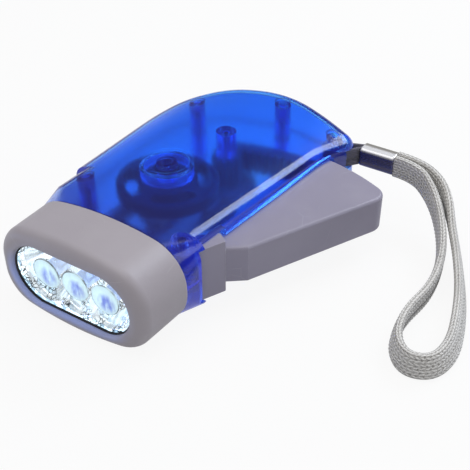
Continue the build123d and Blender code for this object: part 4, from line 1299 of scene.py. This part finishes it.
@dataclass
class Head:
    """The grey bezel, the window, the mirror cups, the lamps and their board."""

    lamps: tuple[tuple[str, float], ...] = (("left", -LAMP_PITCH), ("middle", 0.0), ("right", LAMP_PITCH))
    front_y: float = -49.3 * MM
    depth: float = 6.8 * MM
    cup_radius: float = 9.4 * MM
    throat_radius: float = 2.65 * MM
    cup_power: float = 2.4
    ring_power: float = 0.8
    rings: int = 9
    facets: int = 30
    pebble: float = 0.04 * MM
    seed: int = 11
    weld: float = 0.02 * MM
    smallest_edge: float = 0.001 * MM
    rim_share: float = 0.25
    plate_half_width: float = 21.5 * MM
    plate_half_height: float = 11.5 * MM
    plate_corner: float = 8.4 * MM
    plate_points: int = 72
    window_y: float = -50.9 * MM
    window_thickness: float = 1.6 * MM
    opening_half_width: float = 19.6 * MM
    opening_half_height: float = 9.4 * MM
    shade_cord_radius: float = 0.4 * MM
    shade_cord_points: int = 96
    shade_cord_sides: int = 10
    eye_edge: float = 0.25 * MM
    eye_rise: float = 1.15 * MM
    eye_rings: int = 8
    eye_sides: int = 48
    frame_start: float = 0.2 * MM
    frame_sides: int = 20
    cup_post: tuple[Span, ...] = (
        (0.26 * MM, 0.0),
        (0.26 * MM, 2 * MM),
        (0.95 * MM, 2.2 * MM),
        (1.25 * MM, 3.1 * MM),
        (1.05 * MM, 3.1 * MM),
        (0.6 * MM, 2.5 * MM),
    )
    cup_post_x: float = -0.9 * MM
    thin_post: tuple[Span, ...] = (
        (0.26 * MM, 0.0),
        (0.26 * MM, 2.4 * MM),
        (0.5 * MM, 2.5 * MM),
        (0.5 * MM, 2.9 * MM),
    )
    thin_post_x: float = 1.1 * MM
    bezel: GlowPaintedBezel = GlowPaintedBezel("grey_bezel_plastic", (0.375, 0.345, 0.37), 0.42, (0.345, 0.315, 0.34), (0.6, 0.59, 0.6))
    window: ClearWindow = ClearWindow("clear_window", WHITE, 0.0)
    mirror: Foil = Foil("metallised_cups", (0.86, 0.93, 0.97), 0.06)
    resin: Resin = Resin("lamp_resin", (0.5, 0.65, 0.92), 0.05)
    bulls_eye: BullsEye = BullsEye("bulls_eye_lens", (0.8, 0.9, 1.0), 0.05)
    frame_metal: Metal = Metal("lamp_frame_metal", (0.75, 0.75, 0.78), 0.2, stretch=(900.0, 200.0, 900.0))
    shade_cord_plastic: MouldedPlastic = MouldedPlastic(
        "painted_shade_cord", (0.012, 0.012, 0.015), 0.6, (0.02, 0.02, 0.022), (0.05, 0.05, 0.05)
    )
    board: MouldedPlastic = MouldedPlastic(
        "green_board", (0.02, 0.16, 0.06), 0.3, (0.015, 0.13, 0.05), (0.5, 0.4, 0.15)
    )

    def cup_depth(self, radius: float) -> float:
        """How far back a cup's wall lies at a radius from its lamp."""
        share = (radius - self.throat_radius) / (self.cup_radius - self.throat_radius)
        return self.depth * (1 - max(0.0, min(1.0, share)) ** self.cup_power)

    def cup(self, work: bmesh.types.BMesh, lamp_x: float, low: float, high: float) -> None:
        """Add one faceted cup.

        Args:
            work: The mirror's mesh.
            lamp_x: The x of the cup's lamp.
            low: The lowest x that the cup may have.
            high: The highest x that it may have.
        """
        grid: list[list[bmesh.types.BMVert]] = []
        for ring in range(self.rings + 1):
            share = (ring / self.rings) ** self.ring_power
            radius = self.throat_radius + (self.cup_radius - self.throat_radius) * share
            row: list[bmesh.types.BMVert] = []
            for facet in range(self.facets):
                turn = FULL_TURN * (facet + 0.5 * (ring % 2)) / self.facets
                x = min(high, max(low, lamp_x + radius * math.cos(turn)))
                z = radius * math.sin(turn)
                back = self.cup_depth(math.hypot(x - lamp_x, z))
                if 0 < ring < self.rings and low < x < high:
                    back += random.uniform(-self.pebble, self.pebble)
                row.append(work.verts.new((x, self.front_y + back, MIDDLE_Z + z)))
            grid.append(row)
        for ring, (inner, outer) in enumerate(zip(grid, grid[1:])):
            for facet in range(self.facets):
                after = (facet + 1) % self.facets
                near, far = (outer[after], inner[facet]) if ring % 2 else (outer[facet], inner[after])
                work.faces.new((inner[facet], inner[after], near))
                work.faces.new((far, outer[after], outer[facet]))

    def reflector(self) -> bpy.types.Object:
        """The mirror: three faceted cups that meet in ridges, in one plate with a rim.

        Returns:
            The mirror.
        """
        random.seed(self.seed)
        work = bmesh.new()
        half = LAMP_PITCH / 2
        for name, lamp_x in self.lamps:
            low = lamp_x - (self.cup_radius if name == "left" else half)
            high = lamp_x + (self.cup_radius if name == "right" else half)
            self.cup(work, lamp_x, low, high)
        bmesh.ops.remove_doubles(work, verts=work.verts, dist=self.weld)
        bmesh.ops.dissolve_degenerate(work, edges=work.edges, dist=self.smallest_edge)
        near = self.rim_share * self.depth
        rim = [
            edge
            for edge in work.edges
            if edge.is_boundary and all(abs(vert.co.y - self.front_y) < near for vert in edge.verts)
        ]
        plate = rounded(self.plate_half_width, self.plate_half_height, self.plate_corner, self.plate_points)
        outline = [work.verts.new((x, self.front_y, MIDDLE_Z + z)) for x, z, _ in plate]
        border = [work.edges.new(pair) for pair in zip(outline, outline[1:] + outline[:1])]
        bmesh.ops.triangle_fill(work, edges=rim + border, use_beauty=True)
        skirt = bmesh.ops.extrude_edge_only(work, edges=border)
        moved = [item for item in skirt["geom"] if isinstance(item, bmesh.types.BMVert)]
        bmesh.ops.translate(work, verts=moved, vec=(0, self.depth, 0))
        bmesh.ops.recalc_face_normals(work, faces=work.faces)
        mesh = bpy.data.meshes.new("mirror_cups")
        work.to_mesh(mesh)
        work.free()
        return show("mirror_cups", mesh)

    def shade_cord(self) -> bpy.types.Object:
        """A dark cord round the window at the bezel's lip: painted shade, given as a piece, for the shadowed gap there.

        Returns:
            The gasket.
        """
        round_end = self.opening_half_height
        rings: list[list[Vector]] = []
        for x, z, turn in rounded(self.opening_half_width, round_end, round_end, self.shade_cord_points):
            middle = Vector((x, self.window_y - self.shade_cord_radius, MIDDLE_Z + z))
            out = RIGHT * math.cos(turn) + UP * math.sin(turn)
            rings.append(circle(middle, out, BACK, self.shade_cord_radius, self.shade_cord_sides))
        loft = Loft()
        loft.skin(rings, closed=True)
        return loft.piece("window_shade_cord")

    def bulls_eyes(self) -> bpy.types.Object:
        """Three shallow convex lenses moulded on the back of the window, one before each lamp.

        Returns:
            The lenses, as one piece.
        """
        profile = [(EYE_RADIUS, 0.0), (EYE_RADIUS, self.eye_edge)]
        for ring in range(1, self.eye_rings):
            turn = ring / self.eye_rings * math.pi / 2
            rise = self.eye_edge + (self.eye_rise - self.eye_edge) * math.sin(turn)
            profile.append((EYE_RADIUS * math.cos(turn), rise))
        loft = Loft()
        for _, lamp_x in self.lamps:
            back = Vector((lamp_x, self.window_y + self.window_thickness, MIDDLE_Z))
            rings = [circle(back + BACK * rise, RIGHT, UP, radius, self.eye_sides) for radius, rise in profile]
            loft.skin(rings, tip=back + BACK * self.eye_rise)
        return loft.piece("window_bulls_eyes")

    def lamp_frame(self, name: str, lamp_x: float) -> bpy.types.Object:
        """A lamp's metal inside its resin: two posts, one with a small cup that holds the chip.

        Args:
            name: The piece's name.
            lamp_x: The x of the lamp.

        Returns:
            The frame.
        """
        loft = Loft()
        back = self.front_y + self.depth - self.frame_start
        for x, profile in ((self.cup_post_x, self.cup_post), (self.thin_post_x, self.thin_post)):
            loft.skin([
                circle(Vector((lamp_x + x, back - ahead, MIDDLE_Z)), RIGHT, UP, radius, self.frame_sides)
                for radius, ahead in profile
            ])
        return loft.piece(name)

    def dress(self, effects: Effects) -> None:
        """Dress the head and build its mirror, dark shade cord, lenses and lamp frames.

        Args:
            effects: The shared effects.
        """
        dress(effects, self.bezel, "head_bezel")
        dress(effects, self.window, "lens_window")
        dress(effects, self.board, "led_board")
        dress(effects, self.resin, *(f"led_{name}" for name, _ in self.lamps))
        settle(self.reflector(), self.mirror.make(effects), "reflector")
        # Painted shade: a dark cord stands for the shadow in the gap round the window.
        settle(self.shade_cord(), self.shade_cord_plastic.make(effects))
        settle(self.bulls_eyes(), self.bulls_eye.make(effects))
        metal = self.frame_metal.make(effects)
        for name, lamp_x in self.lamps:
            settle(self.lamp_frame(f"lamp_frame_{name}", lamp_x), metal)


@dataclass
class SqueezeLever:
    """The grey lever, its toothed sector, its pin and its spring."""

    pivot: Span = (20 * MM, -30 * MM)
    spring_radius: float = 2.6 * MM
    spring_wire: float = 0.4 * MM
    spring_pitch: float = 1.25 * MM
    spring_low: float = 11.5 * MM
    spring_leg: float = 6.5 * MM
    spring_from: float = math.radians(270.0)
    spring_sweep: float = math.radians(1510.0)
    turn_steps: int = 120
    leg_steps: int = 6
    plastic: MouldedPlastic = MouldedPlastic(
        "grey_lever_plastic", (0.29, 0.27, 0.345), 0.4, (0.265, 0.248, 0.318), (0.52, 0.52, 0.58)
    )
    nylon: MouldedPlastic = MouldedPlastic(
        "sector_nylon", (0.05, 0.05, 0.09), 0.38, (0.04, 0.04, 0.08), (0.2, 0.2, 0.25)
    )
    pin: Metal = Metal("lever_pin_steel", (0.55, 0.55, 0.57), 0.22, stretch=(900.0, 900.0, 60.0))
    spring: Metal = Metal("spring_wire", (0.5, 0.5, 0.52), 0.25, stretch=(1200.0, 1200.0, 1200.0))

    def on_turns(self, share: float) -> tuple[Vector, Vector]:
        """A point of the spring's turns.

        Args:
            share: How far along the turns it is, from 0 to 1.

        Returns:
            The point, and the direction of the wire there.
        """
        swept = self.spring_sweep * share
        slope = self.spring_pitch / FULL_TURN
        turn = self.spring_from + swept
        out = Vector((math.cos(turn), math.sin(turn), 0.0)) * self.spring_radius
        return Vector((*self.pivot, self.spring_low + slope * swept)) + out, Vector((-out.y, out.x, slope)).normalized()

    def winding(self) -> list[Vector]:
        """The spring's middle line: a leg to the housing, the turns, and a leg to the lever.

        Returns:
            The line's points.
        """
        start, ahead = self.on_turns(0.0)
        line = [start - ahead * self.spring_leg * (1 - step / self.leg_steps) for step in range(self.leg_steps)]
        line += [self.on_turns(step / self.turn_steps)[0] for step in range(self.turn_steps + 1)]
        end, ahead = self.on_turns(1.0)
        line += [end + ahead * self.spring_leg * (step + 1) / self.leg_steps for step in range(self.leg_steps)]
        return line

    def dress(self, effects: Effects) -> None:
        """Dress the lever's pieces, and build the spring.

        Args:
            effects: The shared effects.
        """
        dress(effects, self.plastic, "squeeze_lever")
        dress(effects, self.nylon, "sector_rack")
        dress(effects, self.pin, "lever_pin")
        spring = wire("return_spring_wire", self.winding(), self.spring_wire)
        fit(spring, self.spring.make(effects))
        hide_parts("return_spring")
        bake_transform(spring)
        log.info("return_spring_wire: %d faces", len(spring.data.polygons))


@dataclass
class GearTrain:
    """The gears, the one-way clutch and their axles."""

    nylon: MouldedPlastic = MouldedPlastic("gear_nylon", (0.15, 0.15, 0.17), 0.35, (0.13, 0.13, 0.15), (0.3, 0.3, 0.32))
    axle: Metal = Metal("axle_steel", (0.6, 0.6, 0.62), 0.18, stretch=(900.0, 900.0, 60.0))

    def dress(self, effects: Effects) -> None:
        """Dress the gears and the axles."""
        dress(effects, self.nylon, "first_gear", "second_gear", "clutch_pinion", "ratchet_ring")
        dress(effects, self.axle, "first_gear_axle", "second_gear_axle", "flywheel_axle")


@dataclass
class Generator:
    """The flywheel, the magnet, the core, the coil and its leads."""

    wheel: Metal = Metal(
        "dark_flywheel", (0.02, 0.022, 0.035), 0.35, (400.0, 400.0, 60.0), (0.03, 0.03, 0.045), metallic=0.3
    )
    magnet: Metal = Metal("sintered_magnet", (0.12, 0.12, 0.13), 0.45, stretch=(900.0, 900.0, 900.0), metallic=0.6)
    core: Metal = Metal("stacked_core", (0.35, 0.35, 0.37), 0.4, stretch=(30.0, 30.0, 2600.0))
    copper: Metal = Metal(
        "enamelled_copper", (0.55, 0.2, 0.07), 0.25, (5200.0, 90.0, 90.0), (0.35, 0.1, 0.03), depth=0.04 * MM
    )
    bobbin: MouldedPlastic = MouldedPlastic("bobbin_plastic", (0.5, 0.48, 0.42), 0.4, (0.45, 0.43, 0.38))
    red: MouldedPlastic = MouldedPlastic("red_insulation", (0.5, 0.01, 0.01), 0.3, (0.42, 0.01, 0.01))
    black: MouldedPlastic = MouldedPlastic("black_insulation", (0.01, 0.01, 0.01), 0.3, (0.015, 0.015, 0.015))

    def dress(self, effects: Effects) -> None:
        """Dress the generator's pieces.

        Args:
            effects: The shared effects.
        """
        dress(effects, self.wheel, "flywheel")
        dress(effects, self.magnet, "ring_magnet")
        dress(effects, self.core, "stator_core")
        dress(effects, self.copper, "coil_winding")
        dress(effects, self.bobbin, "coil_bobbin")
        dress(effects, self.red, "lead_red")
        dress(effects, self.black, "lead_black")


@dataclass
class WristStrap:
    """The braided loop, its metal ferrule and the tail that goes round the screw post."""

    width: float = 7 * MM
    thickness: float = 2.4 * MM
    length: float = 0.1779
    loop_step: float = 0.35 * MM
    leans: tuple[Span, ...] = (
        (0.0, 0.0), (0.08, 0.0), (0.2, 16.0), (0.42, 24.0), (0.55, 10.0), (0.68, 4.0), (0.9, 0.0), (1.0, 0.0)
    )
    ferrule_place: Point = (34.6 * MM, 46.6 * MM, 17 * MM)
    ferrule_length: float = 11.5 * MM
    ferrule_depth: float = 5.6 * MM
    ferrule_height: float = 6.4 * MM
    ferrule_wall: float = 0.5 * MM
    ferrule_corner: float = 1.5 * MM
    rolled_length: float = 0.45 * MM
    rolled_depth: float = 0.28 * MM
    ferrule_stations: int = 36
    ferrule_points: int = 56
    tail_thickness: float = 1.1 * MM
    tail_width: float = 6 * MM
    tail_column: float = 0.6 * MM
    tail_strand: float = 1.2 * MM
    tail_relief: float = 0.08 * MM
    tail_points: int = 36
    tail_step: float = 0.3 * MM
    nose_radius: float = 0.62 * MM
    nose_steps: int = 10
    post: Span = (26.94 * MM, 40.8952 * MM)
    post_radius: float = 3.25 * MM
    post_steps: int = 40
    route: tuple[Point, ...] = (
        (0.0461, 0.04795, 0.017),
        (0.053, 0.04795, 0.017),
        (0.0605, 0.0466, 0.0144),
        (0.066, 0.042, 0.0112),
        (0.0706, 0.0346, 0.008),
        (0.0758, 0.026, 0.0054),
        (0.0816, 0.014, 0.0039),
        (0.0856, 0.002, 0.0035),
        (0.0879, -0.0085, 0.0035),
        (0.0862, -0.017, 0.0035),
        (0.0795, -0.0194, 0.0035),
        (0.0739, -0.0136, 0.0035),
        (0.0722, -0.003, 0.0035),
        (0.0739, 0.0095, 0.0035),
        (0.0726, 0.0205, 0.0042),
        (0.0696, 0.0296, 0.0062),
        (0.0648, 0.0376, 0.0096),
        (0.0593, 0.0428, 0.0134),
        (0.0532, 0.04525, 0.017),
        (0.0461, 0.04525, 0.017),
    )
    cloth: Webbing = Webbing("grey_braid", (0.79, 0.775, 0.74), 0.85)
    tail_cloth: Webbing = Webbing(
        "dark_tail_webbing", (0.17, 0.165, 0.21), 0.9, (0.05, 0.045, 0.06), column=0.6 * MM, strand=0.5 * MM
    )
    bright: ReflectionPaintedTube = ReflectionPaintedTube("bright_ferrule", (0.93, 0.92, 0.92), 0.16)

    def tail_line(self) -> list[Vector]:
        """The closed line of the tail: round the post, and to a fold inside the ferrule.

        Returns:
            The line's points.
        """
        post = Vector((*self.post, self.ferrule_place[2]))
        nose = Vector(self.ferrule_place)
        gap = nose - post
        facing = math.atan2(gap.y, gap.x)
        lean = math.acos((self.post_radius - self.nose_radius) / gap.length)
        line: list[Vector] = []
        for middle, radius, start, sweep, count in (
            (post, self.post_radius, facing + lean, FULL_TURN - 2 * lean, self.post_steps),
            (nose, self.nose_radius, facing - lean, 2 * lean, self.nose_steps),
        ):
            for step in range(count):
                turn = start + sweep * step / (count - 1)
                line.append(middle + Vector((math.cos(turn), math.sin(turn), 0)) * radius)
        return evenly([*line, line[0].copy()], self.tail_step)[:-1]

    def tail(self) -> bpy.types.Object:
        """The dark woven tail.

        Returns:
            The tail.
        """
        band = Ribbon(
            "strap_tail_band",
            self.tail_line(),
            self.tail_width,
            self.tail_thickness,
            self.tail_column,
            self.tail_strand,
            self.tail_relief,
            closed=True,
            around=self.tail_points,
        )
        return band.build()

    def ferrule_ring(self, share: float, shrink: float) -> list[Vector]:
        """One rounded rectangular ring of the ferrule.

        Args:
            share: How far along the ferrule it is, from 0 to 1.
            shrink: How much smaller it is all round, in metres.

        Returns:
            The ring's points.
        """
        x, y, z = self.ferrule_place
        corner = max(self.ferrule_corner - shrink, self.ferrule_wall * 0.6)
        half_depth, half_height = self.ferrule_depth / 2 - shrink, self.ferrule_height / 2 - shrink
        outline = rounded(half_depth, half_height, corner, self.ferrule_points, 0.5)
        return [Vector((x + self.ferrule_length * share, y + across, z + up)) for across, up, _ in outline]

    def ferrule(self) -> bpy.types.Object:
        """The bright ferrule: a folded tube with rolled ends.

        Returns:
            The ferrule.
        """
        shares = [station / self.ferrule_stations for station in range(self.ferrule_stations + 1)]
        rings: list[list[Vector]] = []
        for share in shares:
            end = min(share, 1 - share) * self.ferrule_length
            rolled = self.rolled_depth * (1 - min(1.0, end / self.rolled_length)) ** 2
            rings.append(self.ferrule_ring(share, rolled))
        rings += [self.ferrule_ring(1 - share, self.ferrule_wall) for share in shares]
        loft = Loft()
        loft.skin(rings, closed=True)
        return loft.piece("strap_ferrule_tube")

    def build(self, effects: Effects) -> None:
        """Args:
            effects: The shared effects.
        """
        line = evenly(spline_points("strap_route", self.route), self.loop_step)
        loop = Ribbon("strap_braid", line, self.width, self.thickness, leans=self.leans).build()
        tail = self.tail()
        ferrule = self.ferrule()
        settle(loop, self.cloth.make(effects), "strap_loop")
        settle(tail, self.tail_cloth.make(effects), "strap_tail")
        settle(ferrule, self.bright.make(effects), "strap_ferrule")


def main() -> None:
    """Build the studio and every sub-assembly, and note the sizes."""
    logging.basicConfig(level=logging.INFO, format="%(name)s %(message)s")
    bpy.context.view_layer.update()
    effects = Effects()
    Studio().build()
    WristStrap().build(effects)
    for assembly in (Housing(), Head(), SqueezeLever(), GearTrain(), Generator()):
        assembly.dress(effects)


if __name__ == "__main__":
    main()
